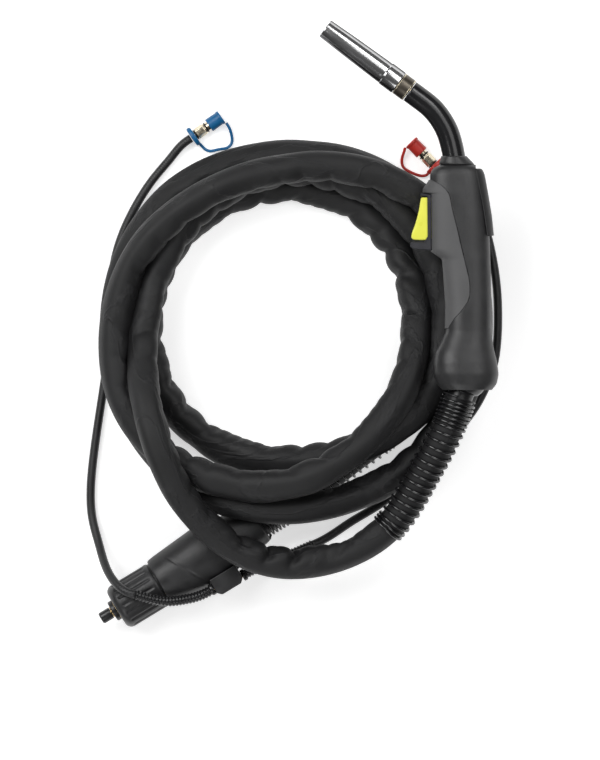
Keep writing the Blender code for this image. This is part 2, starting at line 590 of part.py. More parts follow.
def build_handle(frame, black, grey, steel, yellow, dark):
    far = 200.0
    pocket = solid("panel_pocket", prism(PANEL_OUTLINE, -far, far), None, frame)
    cut(pocket, solid("pocket_floor", handle_form(PANEL_RECESS + GAP), None, frame))
    strap_zone = solid("strap_zone", prism(STRAP_OUTLINE, -far, far), None, frame)
    cut(strap_zone, solid("strap_floor", handle_form(PANEL_RECESS), None, frame))

    seat = solid("ball_seat", ball_form(BALL_RADIUS + CUP_WALL + 2 * BALL_GAP), None, frame)
    lip = BALL_RADIUS + CUP_WALL + 0.2
    mouth = [(HANDLE_END - 5, 0), (HANDLE_END - 5, lip + GAP), (-8, lip), (0, lip), (0, 0)]
    mouth = solid("rear_mouth", turned_y(mouth), None, frame)
    throat = solid("cable_throat", turned_y([(10, 0), (10, 12), (40, 12), (40, 0)], 20), None, frame)
    cavity = solid("inner_cavity", handle_form(HANDLE_WALL, CAVITY), None, frame)
    channels = []
    for number, place in enumerate(HANDLE_SCREWS):
        pillar = turned_z([(-40, 0), (-40, 4.6), (40, 4.6), (40, 0)], place)
        pillar = solid(f"screw_pillar_{number}", pillar, None, frame)
        cut(cavity, pillar)
        hole = [(-40, 0), (-40, 3.6), (-14.5, 3.6), (-14.5, 1.7), (6, 1.7), (6, 0)]
        channels.append(solid(f"screw_channel_{number}", turned_z(hole, place), None, frame))
        screw = [(-17.2, 0), (-17.2, 3.2), (-14.5 - GAP, 3.2), (-14.5 - GAP, 1.4), (5.4, 1.4), (5.4, 0)]
        solid(f"handle_screw_{number + 1}", turned_z(screw, place), steel, frame)
    neck_hole = tube("neck_hole", smooth_curve(plane_path(NECK_PATH), count=16),
                     NECK_DIAMETER + 4 * GAP, None, 6, frame)
    neck_hole = as_mesh(neck_hole)
    half_width = TRIGGER_WIDTH / 2 + RUNNING
    lever_low, lever_high = min(y for _, y in TRIGGER_OUTLINE), max(y for _, y in TRIGGER_OUTLINE)
    window_low, window_high = lever_low - WINDOW_ROOM[0], lever_high + WINDOW_ROOM[1]
    window = block((-41.5, window_low, -half_width), (-30.0, window_high, half_width))
    window = solid("trigger_window", window, None, frame)
    bezel_seat = prism(grown(BEZEL_OUTLINE, GAP), -BEZEL_HALF - GAP, BEZEL_HALF + GAP)
    bezel_seat = solid("bezel_seat", bezel_seat, None, frame)
    pin_half = PIN_REACH + GAP
    pin_bore = PIN_RADIUS + GAP / 2
    pin_seat = [(-pin_half, 0), (-pin_half, pin_bore), (pin_half, pin_bore), (pin_half, 0)]
    pin_seat = solid("pin_seat", turned_z(pin_seat, TRIGGER_PIVOT), None, frame)

    panel_low, panel_high = min(y for _, y in PANEL_OUTLINE), max(y for _, y in PANEL_OUTLINE)
    for name, low, high in (("upper", GAP / 2, far), ("lower", -far, -GAP / 2)):
        half = solid(f"{name}_half_space", block((-far, -far, low), (far, 2 * far, high)), None, frame)
        shell = solid(f"handle_shell_{name}", handle_form(), black, frame, sharp=50)
        keep_inside(shell, half)
        cut(shell, cavity, seat, mouth, throat, neck_hole, window, bezel_seat, pin_seat)
        cut(shell, pocket, strap_zone, *channels)
        panel = handle_form(-PANEL_PROUD, (panel_low - 2.0, panel_high + 1.5), nose=NOSE)
        panel = solid(f"grip_panel_{name}", panel, grey, frame, sharp=50)
        bed = solid(f"{name}_panel_bed", handle_form(PANEL_RECESS), None, frame)
        zone = solid(f"{name}_panel_zone", prism(grown(PANEL_OUTLINE, -GAP), -far, far), None, frame)
        keep_inside(panel, half, zone)
        cut(panel, bed, window, bezel_seat, pin_seat)

    strap_low, strap_high = min(y for _, y in STRAP_OUTLINE), max(y for _, y in STRAP_OUTLINE)
    strap = handle_form(-0.5, (strap_low + GAP, strap_high - 0.4), STRAP_RISE)
    strap = solid("back_strap", strap, black, frame, sharp=50)
    strap_keep = solid("strap_keep", prism(grown(STRAP_OUTLINE, -GAP), -far, far), None, frame)
    keep_inside(strap, strap_keep)
    cut(strap, solid("strap_bed", handle_form(PANEL_RECESS - GAP), None, frame))

    collar_rings = []
    for height, middle, across, through in COLLAR_STATIONS:
        turn = [math.tau * i / 20 for i in range(20)]
        collar_rings.append([(middle + across * math.cos(t), height, through * math.sin(t)) for t in turn])
    collar = solid("neck_collar", loft(collar_rings), black, frame)
    cut(collar, neck_hole)

    build_trigger(frame, half_width, yellow, black, dark, steel)
    cup = solid("ball_cup", ball_form(BALL_RADIUS + BALL_GAP + CUP_WALL), dark, frame)
    band = [(CUP_SPAN[0], 0), (CUP_SPAN[0], 30), (CUP_SPAN[1], 30), (CUP_SPAN[1], 0)]
    keep_inside(cup, solid("cup_band", turned_y(band, 12), None, frame))
    cut(cup, solid("cup_bore", ball_form(BALL_RADIUS + BALL_GAP), None, frame))


def ball_form(radius, sides=16, rows=8):
    steps = [math.pi * i / rows for i in range(rows + 1)]
    arc = [(-radius * math.cos(step), radius * math.sin(step)) for step in steps]
    arc[0], arc[-1] = (-radius, 0.0), (radius, 0.0)
    return turned(arc, sides)


def turned_y(profile, sides=28):
    """A turned form whose axis is the handle's long axis."""
    form = turned(profile, sides)
    bmesh.ops.rotate(form, verts=form.verts, cent=(0, 0, 0), matrix=Matrix.Rotation(math.pi / 2, 3, "Z"))
    return form


def turned_z(profile, place, sides=10):
    form = turned(profile, sides)
    bmesh.ops.rotate(form, verts=form.verts, cent=(0, 0, 0), matrix=Matrix.Rotation(-math.pi / 2, 3, "Y"))
    bmesh.ops.translate(form, verts=form.verts, vec=(*place, 0))
    return form


def plane_path(outline, height=0.0):
    return [(x, y, height) for x, y in outline]


def grown(outline, by):
    """Move every side of a flat outline outwards by the same distance."""
    points = np.array(outline, float)
    area = np.sum(points[:, 0] * np.roll(points[:, 1], -1) - np.roll(points[:, 0], -1) * points[:, 1])
    after, before = np.roll(points, -1, axis=0) - points, points - np.roll(points, 1, axis=0)
    sides = []
    for edge in (before, after):
        unit = edge / np.linalg.norm(edge, axis=1)[:, None]
        sides.append(np.stack([unit[:, 1], -unit[:, 0]], axis=1) * np.sign(area))
    mean = sides[0] + sides[1]
    mean /= np.maximum(np.linalg.norm(mean, axis=1), 1e-6)[:, None]
    reach = by / np.maximum(np.sum(mean * sides[0], axis=1), 0.4)
    return [tuple(point) for point in points + mean * reach[:, None]]


# ================================================================ trigger and switch
def build_trigger(frame, window_half, yellow, black, dark, steel):
    bezel = solid("trigger_bezel", prism(BEZEL_OUTLINE, -BEZEL_HALF, BEZEL_HALF, 0.5), black, frame)
    lever_low, lever_high = min(y for _, y in TRIGGER_OUTLINE), max(y for _, y in TRIGGER_OUTLINE)
    opening_low, opening_high = lever_low - BEZEL_ROOM[0], lever_high + BEZEL_ROOM[1]
    opening = block((-60.0, opening_low, -window_half), (-30.0, opening_high, window_half))
    cut(bezel, solid("bezel_window", opening, None, frame))

    x, y = TRIGGER_PIVOT
    half = TRIGGER_WIDTH / 2
    lever = solid("trigger", prism(TRIGGER_OUTLINE, -half, half, 0.7), yellow, frame, origin=(x, y, 0))
    hole = [(-12, 0), (-12, PIN_RADIUS + GAP), (12, PIN_RADIUS + GAP), (12, 0)]
    cut(lever, solid("pin_hole", turned_z(hole, TRIGGER_PIVOT), None, frame))
    pin = [(-PIN_REACH, 0), (-PIN_REACH, PIN_RADIUS), (PIN_REACH, PIN_RADIUS), (PIN_REACH, 0)]
    solid("trigger_pin", turned_z(pin, TRIGGER_PIVOT), steel, frame)

    (left, low), (right, high) = SWITCH_CORNERS
    case = prism([(left, low), (right, low), (right, high), (left, high)], -4.5, 4.5, 0.4)
    switch = solid("microswitch", case, dark, frame)
    along, inner_end = PLUNGER_HEIGHT, left + 1.4
    bore = turned([(left - 3, 0), (left - 3, 1.9), (left + 5, 1.9), (left + 5, 0)], 12)
    bmesh.ops.translate(bore, verts=bore.verts, vec=(0, along, 0))
    cut(switch, solid("plunger_bore", bore, None, frame))
    face = TRIGGER_INSIDE + RUNNING
    button = [(face, 0), (face + 0.6, 1.1), (face + 1.2, 1.5), (inner_end, 1.5), (inner_end, 0)]
    button = turned(button, 12)
    bmesh.ops.translate(button, verts=button.verts, vec=(0, along, 0))
    solid("switch_plunger", button, black, frame, origin=(face, along, 0))

    # The spring has the length it has under a pressed lever, so the lever never meets it.
    turns = 3
    radius, wire = 2.0, 0.7
    angle = np.linspace(0, math.tau * turns, 8 * turns + 1)
    start, reach = TRIGGER_INSIDE + wire + LEVER_GIVE, left - TRIGGER_INSIDE - 2 * wire - LEVER_GIVE
    face_middle = (TRIGGER_FACE[0] + TRIGGER_FACE[1]) / 2
    height = PLUNGER_HEIGHT + math.copysign(SPRING_BESIDE, face_middle - PLUNGER_HEIGHT)
    coil = [start + reach * angle / angle[-1], height + radius * np.cos(angle), radius * np.sin(angle)]
    tube("trigger_spring", np.stack(coil, axis=1), wire, steel, 0, frame)


# ================================================================ neck and nozzle
def build_neck(frame, black, brass, copper, bronze, chrome):
    path = smooth_curve(plane_path(NECK_PATH), count=80)
    places = np.linspace(0.0, length_of(path), 11)
    bore = NECK_TUBE_DIAMETER / 2 + 3 * GAP
    sleeve = pipe(path, places, [NECK_DIAMETER / 2] * len(places), bore, 7, 16)
    solid("swan_neck_sleeve", sleeve, black, frame, sharp=60)
    tube("swan_neck_tube", smooth_curve(path, count=14)[:-1], NECK_TUBE_DIAMETER, copper, 2, frame)

    low, high = NECK_BLOCK
    socket = solid("neck_block", block(low, high), brass, frame)
    middle = (low[0] + high[0]) / 2
    entry = turned_y([(low[1] - 5, 0), (low[1] - 5, 5.4), (low[1] + 14, 5.4), (low[1] + 14, 0)], 12)
    bmesh.ops.translate(entry, verts=entry.verts, vec=(middle, 0, 0))
    cut(socket, solid("cable_entry", entry, None, frame))
    cable = [(middle, low[1] + 13.0, 0), (middle, low[1] - 18.0, 0), (-6.0, 110.0, 0), (-3.0, 70.0, 0),
             (0, 35.0, 0), (0, 8.0, 0)]
    tube("torch_cable", smooth_curve(cable, spacing=15), 10.0, black, 1, frame)

    tip = axis_empty("nozzle_axis", (*NECK_PATH[0], 0), (0, 0, NOZZLE_ANGLE), frame)
    nozzle_start = INSULATOR_LENGTH + GAP
    front = INSULATOR_LENGTH + NOZZLE_LENGTH
    holder_end = INSULATOR_LENGTH + HOLDER_LENGTH
    tip_end = front - CONTACT_TIP_SETBACK
    seat = NOZZLE_SEAT - GAP
    body = [(2 * GAP, 0), (2 * GAP, 11.3), (1.8, 11.8), (2.8, 11.2), (5.4, 11.2), (6.6, 11.8), (11.4, 11.8),
            (INSULATOR_LENGTH, 11.4), (INSULATOR_LENGTH, seat), (nozzle_start + 9.0, seat),
            (nozzle_start + 9.0, 0)]
    insulator = solid("nozzle_insulator", turned(body, 16), bronze, tip)
    bore = [(-1, 0), (-1, HOLDER_RADIUS + GAP), (40, HOLDER_RADIUS + GAP), (40, 0)]
    cut(insulator, solid("insulator_bore", turned(bore, 16), None, tip))

    holder = [(GAP, 0), (GAP, HOLDER_RADIUS), (holder_end - 3, HOLDER_RADIUS), (holder_end, 5.2),
              (holder_end, 0)]
    holder = solid("tip_holder", turned(holder, 16), brass, tip)
    thread = [(holder_end - 9, 0), (holder_end - 9, 3.0 + GAP), (holder_end + 1, 3.0 + GAP), (holder_end + 1, 0)]
    cut(holder, solid("holder_thread", turned(thread, 12), None, tip))
    contact = [(holder_end - 8.5, 0), (holder_end - 8.5, 3.0), (holder_end + GAP, 3.0),
               (holder_end + GAP, CONTACT_TIP_RADIUS), (tip_end - 5, CONTACT_TIP_RADIUS), (tip_end, 2.9),
               (tip_end, 0)]
    contact = solid("contact_tip", turned(contact, 12), copper, tip)
    wire = [(holder_end - 10, 0), (holder_end - 10, WIRE_BORE), (tip_end + 1, WIRE_BORE),
            (tip_end + 1, 0)]
    cut(contact, solid("wire_bore", turned(wire, 10), None, tip))

    start, end = nozzle_start + 13.0, nozzle_start + 29.0
    ring = [(start, HOLDER_RADIUS + GAP), (end, HOLDER_RADIUS + GAP), (end, 7.6), (start, 7.6)]
    diffuser = solid("gas_diffuser", turned(ring, 12), bronze, tip)
    for number in range(2):
        drill = turned([(-10, 0), (-10, 1.3), (10, 1.3), (10, 0)], 8)
        bmesh.ops.rotate(drill, verts=drill.verts, cent=(0, 0, 0), matrix=Matrix.Rotation(math.pi / 2, 3, "Y"))
        bmesh.ops.translate(drill, verts=drill.verts, vec=((start + end) / 2, 0, 0))
        turn = Matrix.Rotation(math.pi / 2 * (number + 0.25), 3, "X")
        bmesh.ops.rotate(drill, verts=drill.verts, cent=(0, 0, 0), matrix=turn)
        cut(diffuser, solid(f"gas_hole_{number}", drill, None, tip))

    back, rear = nozzle_start, NOZZLE_REAR_RADIUS
    outside = [(back, rear - 0.4), (back + 0.6, rear), (back + 15.4, rear), (back + 16.4, rear - 0.7),
               (back + 20.0, rear - 0.6), (back + 60.0, 10.9), (front - 0.6, NOZZLE_TIP_RADIUS),
               (front, NOZZLE_TIP_RADIUS - 0.5)]
    inside = [(front, NOZZLE_BORE), (back + 26.0, NOZZLE_BORE + 0.6), (back + 12.0, NOZZLE_SEAT + GAP),
              (back, NOZZLE_SEAT + GAP)]
    solid("gas_nozzle", turned(outside + inside, 20), chrome, tip, origin=(back, 0, 0))


# ================================================================ swivel, adaptor and water block
def build_swivel(dark):
    frame = axis_empty("swivel_axis", BALL_CENTRE, (0, 0, -90 - BALL_TILT))
    ball = solid("swivel_ball", ball_form(BALL_RADIUS), dark, frame)
    shoulder = SPRING_SEAT - SPRING_WIRE / 2 - GAP
    neck = [(14, 0), (14, 13.0), (shoulder - 1.6, 13.0), (shoulder - 1.6, 17.0), (shoulder, 17.0),
            (shoulder, SPIGOT_RADIUS), (SPIGOT_END - GAP, SPIGOT_RADIUS), (SPIGOT_END - GAP, 0)]
    join(ball, solid("swivel_neck", turned(neck, 18), None, frame))
    funnel = [(-30, 0), (-30, 19.0), (-20, 15.8), (-8, 11.0), (4, 8.5), (SPIGOT_END + 5, 8.5), (SPIGOT_END + 5, 0)]
    cut(ball, solid("swivel_bore", turned(funnel, 14), None, frame))


def build_adaptor(black, dark, steel, brass):
    frame = axis_empty("adaptor_axis", (*ADAPTOR_ORIGIN, ADAPTOR_HEIGHT), (0, 0, ADAPTOR_ANGLE))
    turn = np.linspace(0, math.tau, 20, endpoint=False)
    rings = []
    for behind, wide, thick in HOUSING_STATIONS:
        rings.append([(-GAP - behind, wide * math.cos(t), thick * math.sin(t)) for t in turn])
    back = -HOUSING_LENGTH
    hole = [(back - 30, 0), (back - 30, HOSE_ENTRY), (back + 8, HOSE_ENTRY), (back + 14, HOUSING_BORE),
            (1, HOUSING_BORE), (1, 0)]
    bore = solid("housing_bore", turned(hole, 24, 5.0), None, frame)
    for along in (-GAP - HOUSING_LENGTH, -HOUSING_LENGTH - HOUSING_SPIGOT):
        rings.append([(along, SPIGOT_RADIUS * math.cos(t), SPIGOT_RADIUS * math.sin(t)) for t in turn])
    seat_low = (-BLOCK_END - GAP, BLOCK_SIDES[0] - GAP, BLOCK_HEIGHTS[0] - GAP)
    seat_high = (-BLOCK_START + GAP, BLOCK_SIDES[1] + 5, BLOCK_HEIGHTS[1] + 12)
    block_seat = solid("block_seat", block(seat_low, seat_high), None, frame)
    screw_holes = []
    for number, place in enumerate(HOUSING_SCREWS):
        hole = [(-40, 0), (-40, 3.4), (-16, 3.4), (-16, 1.7), (8, 1.7), (8, 0)]
        screw_holes.append(solid(f"housing_hole_{number}", turned_z(hole, place), None, frame))
        screw = [(-18.5, 0), (-18.5, 3.1), (-16 - GAP, 3.1), (-16 - GAP, 1.4), (7.4, 1.4), (7.4, 0)]
        solid(f"housing_screw_{number + 1}", turned_z(screw, place), steel, frame)
    crease = crease_cutter(frame)
    for name, low, high in (("upper", GAP / 2, 60.0), ("lower", -60.0, -GAP / 2)):
        half = solid(f"adaptor_{name}_half_space", block((-200, -60, low), (60, 60, high)), None, frame)
        shell = solid(f"adaptor_housing_{name}", loft(rings), black, frame, sharp=40)
        keep_inside(shell, half)
        cut(shell, bore, block_seat, *screw_holes)
        if name == "upper":
            cut(shell, crease)
    build_plug(frame, black, dark, brass)
    build_block(frame, black, brass)
    return frame


def crease_cutter(frame):
    """Shallow groove that runs slantwise over the upper shell, following its curved surface."""
    stations = np.array(HOUSING_STATIONS)
    rings = []
    for share in np.linspace(0.0, 1.0, 11):
        along = CREASE_ENDS[0][0] + share * (CREASE_ENDS[1][0] - CREASE_ENDS[0][0])
        aside = CREASE_ENDS[0][1] + share * (CREASE_ENDS[1][1] - CREASE_ENDS[0][1])
        wide = float(np.interp(-along, stations[:, 0], stations[:, 1]))
        thick = float(np.interp(-along, stations[:, 0], stations[:, 2]))
        angle = math.asin(aside / wide)
        ring = []
        for step, scale in ((-0.5, 0.972), (0.5, 0.972), (0.8, 1.06), (-0.8, 1.06)):
            x = along + step * CREASE_WIDTH
            ring.append((x, wide * scale * math.sin(angle), thick * scale * math.cos(angle)))
        rings.append(ring)
    return solid("crease", loft(rings), None, frame)


def build_plug(frame, black, dark, brass):
    body = HOUSING_BORE - GAP
    profile = [(-14, 0), (-14, body), (5.5, body), (5.5, 16.3), (9.5, 16.3), (9.5, 13.0), (14.0, 13.0),
               (14.0, PLUG_RADIUS), (NUT_LENGTH + PLUG_PROUD - 1, PLUG_RADIUS),
               (NUT_LENGTH + PLUG_PROUD, PLUG_RADIUS - 1), (NUT_LENGTH + PLUG_PROUD, 0)]
    plug = solid("plug_body", turned(profile, 16), brass, frame)
    hole = INLET_RADIUS + GAP
    cut(plug, solid("inlet_hole", turned([(-20, 0), (-20, hole), (70, hole), (70, 0)], 12), None, frame))
    inlet = [(-20, 1.6), (CAP_REACH - 4, 1.6), (CAP_REACH - 4, INLET_RADIUS - 0.6),
             (CAP_REACH - 6, INLET_RADIUS), (-20, INLET_RADIUS)]
    solid("inlet_tube", turned(inlet, 12), brass, frame)
    ring_start = NUT_LENGTH + PLUG_PROUD + GAP
    ring_end = ring_start + 1.4
    ring = [(ring_start, hole), (ring_end, hole), (ring_end, CAP_RADIUS - 0.2), (ring_start, CAP_RADIUS - 0.2)]
    solid("seal_ring", turned(ring, 12), brass, frame)
    cap_start = ring_end + GAP
    cap = [(CAP_REACH - 3, 0), (CAP_REACH - 3, hole), (cap_start, hole), (cap_start, CAP_RADIUS - 0.4),
           (cap_start + 0.4, CAP_RADIUS), (CAP_REACH - 1.2, CAP_RADIUS), (CAP_REACH, CAP_RADIUS - 1.2),
           (CAP_REACH, 0)]
    solid("pin_cap", turned(cap, 14), dark, frame, origin=(cap_start, 0, 0))

    front = PLUG_RADIUS + 2 * RUNNING
    shoulder = 17.0
    wall = [(1.0, body + 2 * RUNNING), (5.0, body + 2 * RUNNING), (5.0, shoulder), (NUT_LENGTH - 6, shoulder),
            (NUT_LENGTH - 6, front), (NUT_LENGTH, front), (NUT_LENGTH, NUT_RADIUS - 5.5),
            (NUT_LENGTH - 1.2, NUT_RADIUS - 3.0), (NUT_LENGTH - 4.0, NUT_RADIUS - 0.8),
            (NUT_LENGTH - 7.0, NUT_RADIUS), (3.0, NUT_RADIUS), (1.0, NUT_RADIUS - 0.8)]
    nut = solid("union_nut", turned(wall, 32, 2.0), black, frame)
    flutes = bmesh.new()
    for number in range(NUT_FLUTES):
        groove = block((6.0, -1.2, NUT_RADIUS - 1.1), (NUT_LENGTH - 8.0, 1.2, NUT_RADIUS + 6.0))
        turn = Matrix.Rotation(math.tau * (number + 0.5) / NUT_FLUTES, 3, "X")
        bmesh.ops.rotate(groove, verts=groove.verts, cent=(0, 0, 0), matrix=turn)
        scrap = bpy.data.meshes.new("scrap")
        groove.to_mesh(scrap)
        groove.free()
        flutes.from_mesh(scrap)
        bpy.data.meshes.remove(scrap)
    cut(nut, solid("nut_flutes", flutes, None, frame))


def build_block(frame, black, brass):
    low = (-BLOCK_END, BLOCK_SIDES[0], BLOCK_HEIGHTS[0])
    high = (-BLOCK_START, BLOCK_SIDES[1], BLOCK_HEIGHTS[1])
    chamfer = 4.0
    outline = [(low[0], low[1]), (high[0], low[1]), (high[0], high[1] - chamfer), (high[0] - chamfer, high[1]),
               (low[0] + chamfer, high[1]), (low[0], high[1] - chamfer)]
    body = solid("water_block", prism(outline, low[2], high[2], 1.2), black, frame)
    exits = (("blue", BLUE_EXIT, -BLOCK_START, -1), ("red", RED_EXIT, -BLOCK_END, 1))
    for name, exit_point, face, inward in exits:
        near, far = sorted((face + inward * 8.0, face - inward * 6.0))
        barb = turned([(near, 0), (near, BARB_RADIUS), (far, BARB_RADIUS), (far, 0)], 12)
        bmesh.ops.translate(barb, verts=barb.verts, vec=(0, *exit_point))
        solid(f"{name}_barb", barb, brass, frame)
        near, far = near - GAP, far + GAP
        bore = BARB_RADIUS + GAP
        hole = turned([(near, 0), (near, bore), (far, bore), (far, 0)], 12)
        bmesh.ops.translate(hole, verts=hole.verts, vec=(0, *exit_point))
        cut(body, solid(f"{name}_barb_hole", hole, None, frame))


# ================================================================ water hoses, couplings and caps
def build_water_hose(colour, guard_local, route, coupling, rubber, brass, plastic):
    guard_path = smooth_curve([adaptor_point(*point) for point in guard_local], spacing=3.0)
    ribbed(f"{colour}_hose_guard", guard_path, rubber, None, GUARD_BORE)
    end = guard_path[-1]
    onward = (end - guard_path[-2]) / np.linalg.norm(end - guard_path[-2])
    x, y, angle = coupling
    way = np.array([math.cos(math.radians(angle)), math.sin(math.radians(angle)), 0.0])
    ring_centre = np.array([x, y, COUPLING_HEIGHT])
    last = ring_centre - way * (KEEPER_HALF + 2 * GAP)
    floor = WATER_HOSE_DIAMETER / 2 + 0.1
    lying = [(px, py, max(pz, floor)) for px, py, pz in route]
    between = smooth_curve([end + onward * 7.0, *lying, last - way * 9.0], spacing=HOSE_POINT_PITCH)
    points = np.vstack([end + onward * 2 * GAP, between, last])
    print(f"{colour} water hose: {length_of(points):.0f} mm and its guard {length_of(guard_path):.0f} mm")
    tube(f"{colour}_hose", points, WATER_HOSE_DIAMETER, rubber, 1)

    frame = axis_empty(f"{colour}_coupling_axis", ring_centre, (0, 0, angle))
    start, finish = DUST_CAP_START, DUST_CAP_START + DUST_CAP_LENGTH
    body = [(-KEEPER_HALF, 0), (-KEEPER_HALF, STEM_RADIUS), (4.0, STEM_RADIUS), (4.0, 5.2), (15.0, 5.2),
            (15.0, 3.4), (16.4, 3.4), (16.4, NIPPLE_RADIUS), (finish - 4.0, NIPPLE_RADIUS),
            (finish - 2.6, 3.4), (finish - 2.6, 0)]
    fitting = solid(f"{colour}_coupling", turned(body, 10), brass, frame)
    join(fitting, solid(f"{colour}_hex", hexagon(4.4, 13.2, 5.9), None, frame))
    bore = turned([(finish - 10, 0), (finish - 10, 2.2), (finish, 2.2), (finish, 0)], 10)
    cut(fitting, solid(f"{colour}_coupling_bore", bore, None, frame))

    inner, outer = NIPPLE_RADIUS + GAP, DUST_CAP_RADIUS
    shape = [(finish - 2.0, 0), (finish - 2.0, inner), (start, inner), (start, outer - 0.3), (start + 0.5, outer),
             (finish - 3.2, outer - 0.2), (finish - 2.6, outer + 0.3), (finish - 0.4, outer + 0.3),
             (finish, outer - 0.3), (finish, 0)]
    solid(f"{colour}_dust_cap", turned(shape, 12), plastic, frame, origin=(start, 0, 0))
    return frame


def hexagon(low, high, reach):
    turns = [math.radians(60 * i) for i in range(6)]
    outline = [(reach * math.cos(turn), reach * math.sin(turn)) for turn in turns]
    form = prism(outline, low, high)
    bmesh.ops.rotate(form, verts=form.verts, cent=(0, 0, 0), matrix=Matrix.Rotation(math.pi / 2, 3, "Y"))
    return form


def build_strap(colour, frame, route, plastic):
    """Moulded keeper: an oval ring round the hose end and a band that runs back to the dust cap."""
    reach = [(-KEEPER_HALF + 0.1, 0), (-KEEPER_HALF + 0.1, 1.0), (KEEPER_HALF, 1.0), (KEEPER_HALF, 0)]
    oval = turned(reach, 16)
    bmesh.ops.scale(oval, verts=oval.verts, vec=(1.0, KEEPER_REACH, COUPLING_HEIGHT - 0.2))
    keeper = solid(f"{colour}_strap", oval, plastic, frame)
    points = smooth_curve(route, count=13)
    tangents = frames_along(points)[0]
    rings = []
    for point, tangent in zip(points, tangents):
        aside = np.cross(tangent, (0.0, 0.0, 1.0)) * BAND_SIZE[0] / 2
        corners = ((-1, -1), (1, -1), (1, 1), (-1, 1))
        rings.append([point + aside * side + np.array([0, 0, BAND_SIZE[1] / 2 * up]) for side, up in corners])
    join(keeper, solid(f"{colour}_band", loft(rings), None))
    bore = STEM_RADIUS + GAP
    hole = turned([(-9, 0), (-9, bore), (9, bore), (9, 0)], 12)
    cut(keeper, solid(f"{colour}_keeper_bore", hole, None, frame))


def main():
    clear_scene()
    black = paint("black_plastic", (0.045, 0.045, 0.048), 0.5)
    grey = paint("grey_soft_plastic", (0.10, 0.10, 0.105), 0.6)
    dark = paint("dark_plastic", (0.02, 0.02, 0.022), 0.45)
    rubber = paint("hose_rubber", (0.03, 0.03, 0.032), 0.55)
    sheath = paint("textile_sheath", (0.035, 0.035, 0.038), 0.8)
    yellow = paint("yellow_plastic", (0.95, 0.95, 0.05), 0.4)
    blue = paint("blue_plastic", (0.005, 0.13, 0.42), 0.4)
    red = paint("red_plastic", (0.5, 0.03, 0.02), 0.4)
    chrome = paint("bright_chrome", (0.75, 0.75, 0.77), 0.2, 1.0)
    steel = paint("steel", (0.5, 0.5, 0.52), 0.35, 1.0)
    spring_steel = paint("black_spring_steel", (0.03, 0.03, 0.03), 0.3, 0.6)
    brass = paint("brass", (0.75, 0.55, 0.25), 0.3, 1.0)
    copper = paint("copper", (0.75, 0.36, 0.22), 0.3, 1.0)
    bronze = paint("dark_bronze", (0.16, 0.12, 0.09), 0.4, 0.8)

    build_hose(sheath, spring_steel)
    handle = axis_empty("handle_axis", BALL_CENTRE)
    build_handle(handle, black, grey, steel, yellow, dark)
    build_neck(handle, dark, brass, copper, bronze, chrome)
    build_swivel(dark)
    build_adaptor(black, dark, steel, brass)
    blue_frame = build_water_hose("blue", BLUE_GUARD, BLUE_HOSE, BLUE_COUPLING, rubber, brass, blue)
    red_frame = build_water_hose("red", RED_GUARD, RED_HOSE, RED_COUPLING, rubber, brass, red)
    build_strap("blue", blue_frame, BLUE_BAND, blue)
    build_strap("red", red_frame, RED_BAND, red)


main()
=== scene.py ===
"""Looks of the water-cooled welding torch: the torch lies on a pale floor with its hose package coiled
beside it, seen from straight above. The view and the studio are in metres, the pieces in millimetres."""

import json
import math

import bpy
import numpy as np
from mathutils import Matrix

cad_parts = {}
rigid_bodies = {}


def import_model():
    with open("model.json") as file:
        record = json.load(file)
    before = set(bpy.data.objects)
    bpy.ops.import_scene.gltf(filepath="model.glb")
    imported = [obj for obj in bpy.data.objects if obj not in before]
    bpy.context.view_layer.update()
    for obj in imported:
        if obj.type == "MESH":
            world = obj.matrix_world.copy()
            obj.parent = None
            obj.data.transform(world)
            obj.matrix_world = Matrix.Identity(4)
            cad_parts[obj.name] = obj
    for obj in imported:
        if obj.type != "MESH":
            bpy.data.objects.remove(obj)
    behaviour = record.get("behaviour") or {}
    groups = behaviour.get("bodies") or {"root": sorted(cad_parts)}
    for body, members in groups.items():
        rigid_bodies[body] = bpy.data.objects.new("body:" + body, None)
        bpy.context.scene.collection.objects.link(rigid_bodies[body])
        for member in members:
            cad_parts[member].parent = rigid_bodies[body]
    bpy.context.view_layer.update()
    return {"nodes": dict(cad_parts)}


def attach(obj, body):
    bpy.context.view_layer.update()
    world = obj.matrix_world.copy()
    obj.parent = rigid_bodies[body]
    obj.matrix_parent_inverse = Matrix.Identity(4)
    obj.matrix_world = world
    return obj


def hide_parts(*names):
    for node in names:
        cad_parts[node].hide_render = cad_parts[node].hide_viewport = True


for thing in list(bpy.data.objects):
    bpy.data.objects.remove(thing, do_unlink=True)
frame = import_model()


# ------------------------ the view and the studio
# A long lens far above the floor, so that the coil is seen without perspective. The floor is plain
# and pale, and four soft boxes light the black pieces from the sides of the view.
SENSOR, DISTANCE, VIEW_LENGTH = 36, 10, 0.76
FLOOR_REACH, FLOOR_HEIGHT = 15, -0.0006
SOFT_BOXES = (("left_box", (-1.2, 0.75, 1.8), 1.3, 29), ("right_box", (0.9, 0.45, 1.9), 1.1, 8),
              ("back_box", (0.85, 1.35, 1.9), 0.7, 9), ("front_box", (-0.4, -1.7, 1.6), 1.2, 13))


def unit(vectors):
    """Each vector divided by its own length."""
    return vectors / np.linalg.norm(vectors, axis=-1, keepdims=True)


def placed(name, data):
    """A new object with this data, linked into the scene."""
    thing = bpy.data.objects.new(name, data)
    bpy.context.scene.collection.objects.link(thing)
    return thing


def added(tree, kind, sockets=(), **settings):
    """Add a shader node and set its properties, then fill its sockets: another node, or one of its
    outputs, is linked to a socket, and anything else becomes the socket's own constant."""
    node = tree.nodes.new("ShaderNode" + kind)
    for key, value in settings.items():
        setattr(node, key, value)
    for socket, value in dict(sockets).items():
        value = value.outputs[0] if isinstance(value, bpy.types.Node) else value
        if isinstance(value, bpy.types.NodeSocket):
            tree.links.new(value, node.inputs[socket])
        else:
            node.inputs[socket].default_value = value
    return node


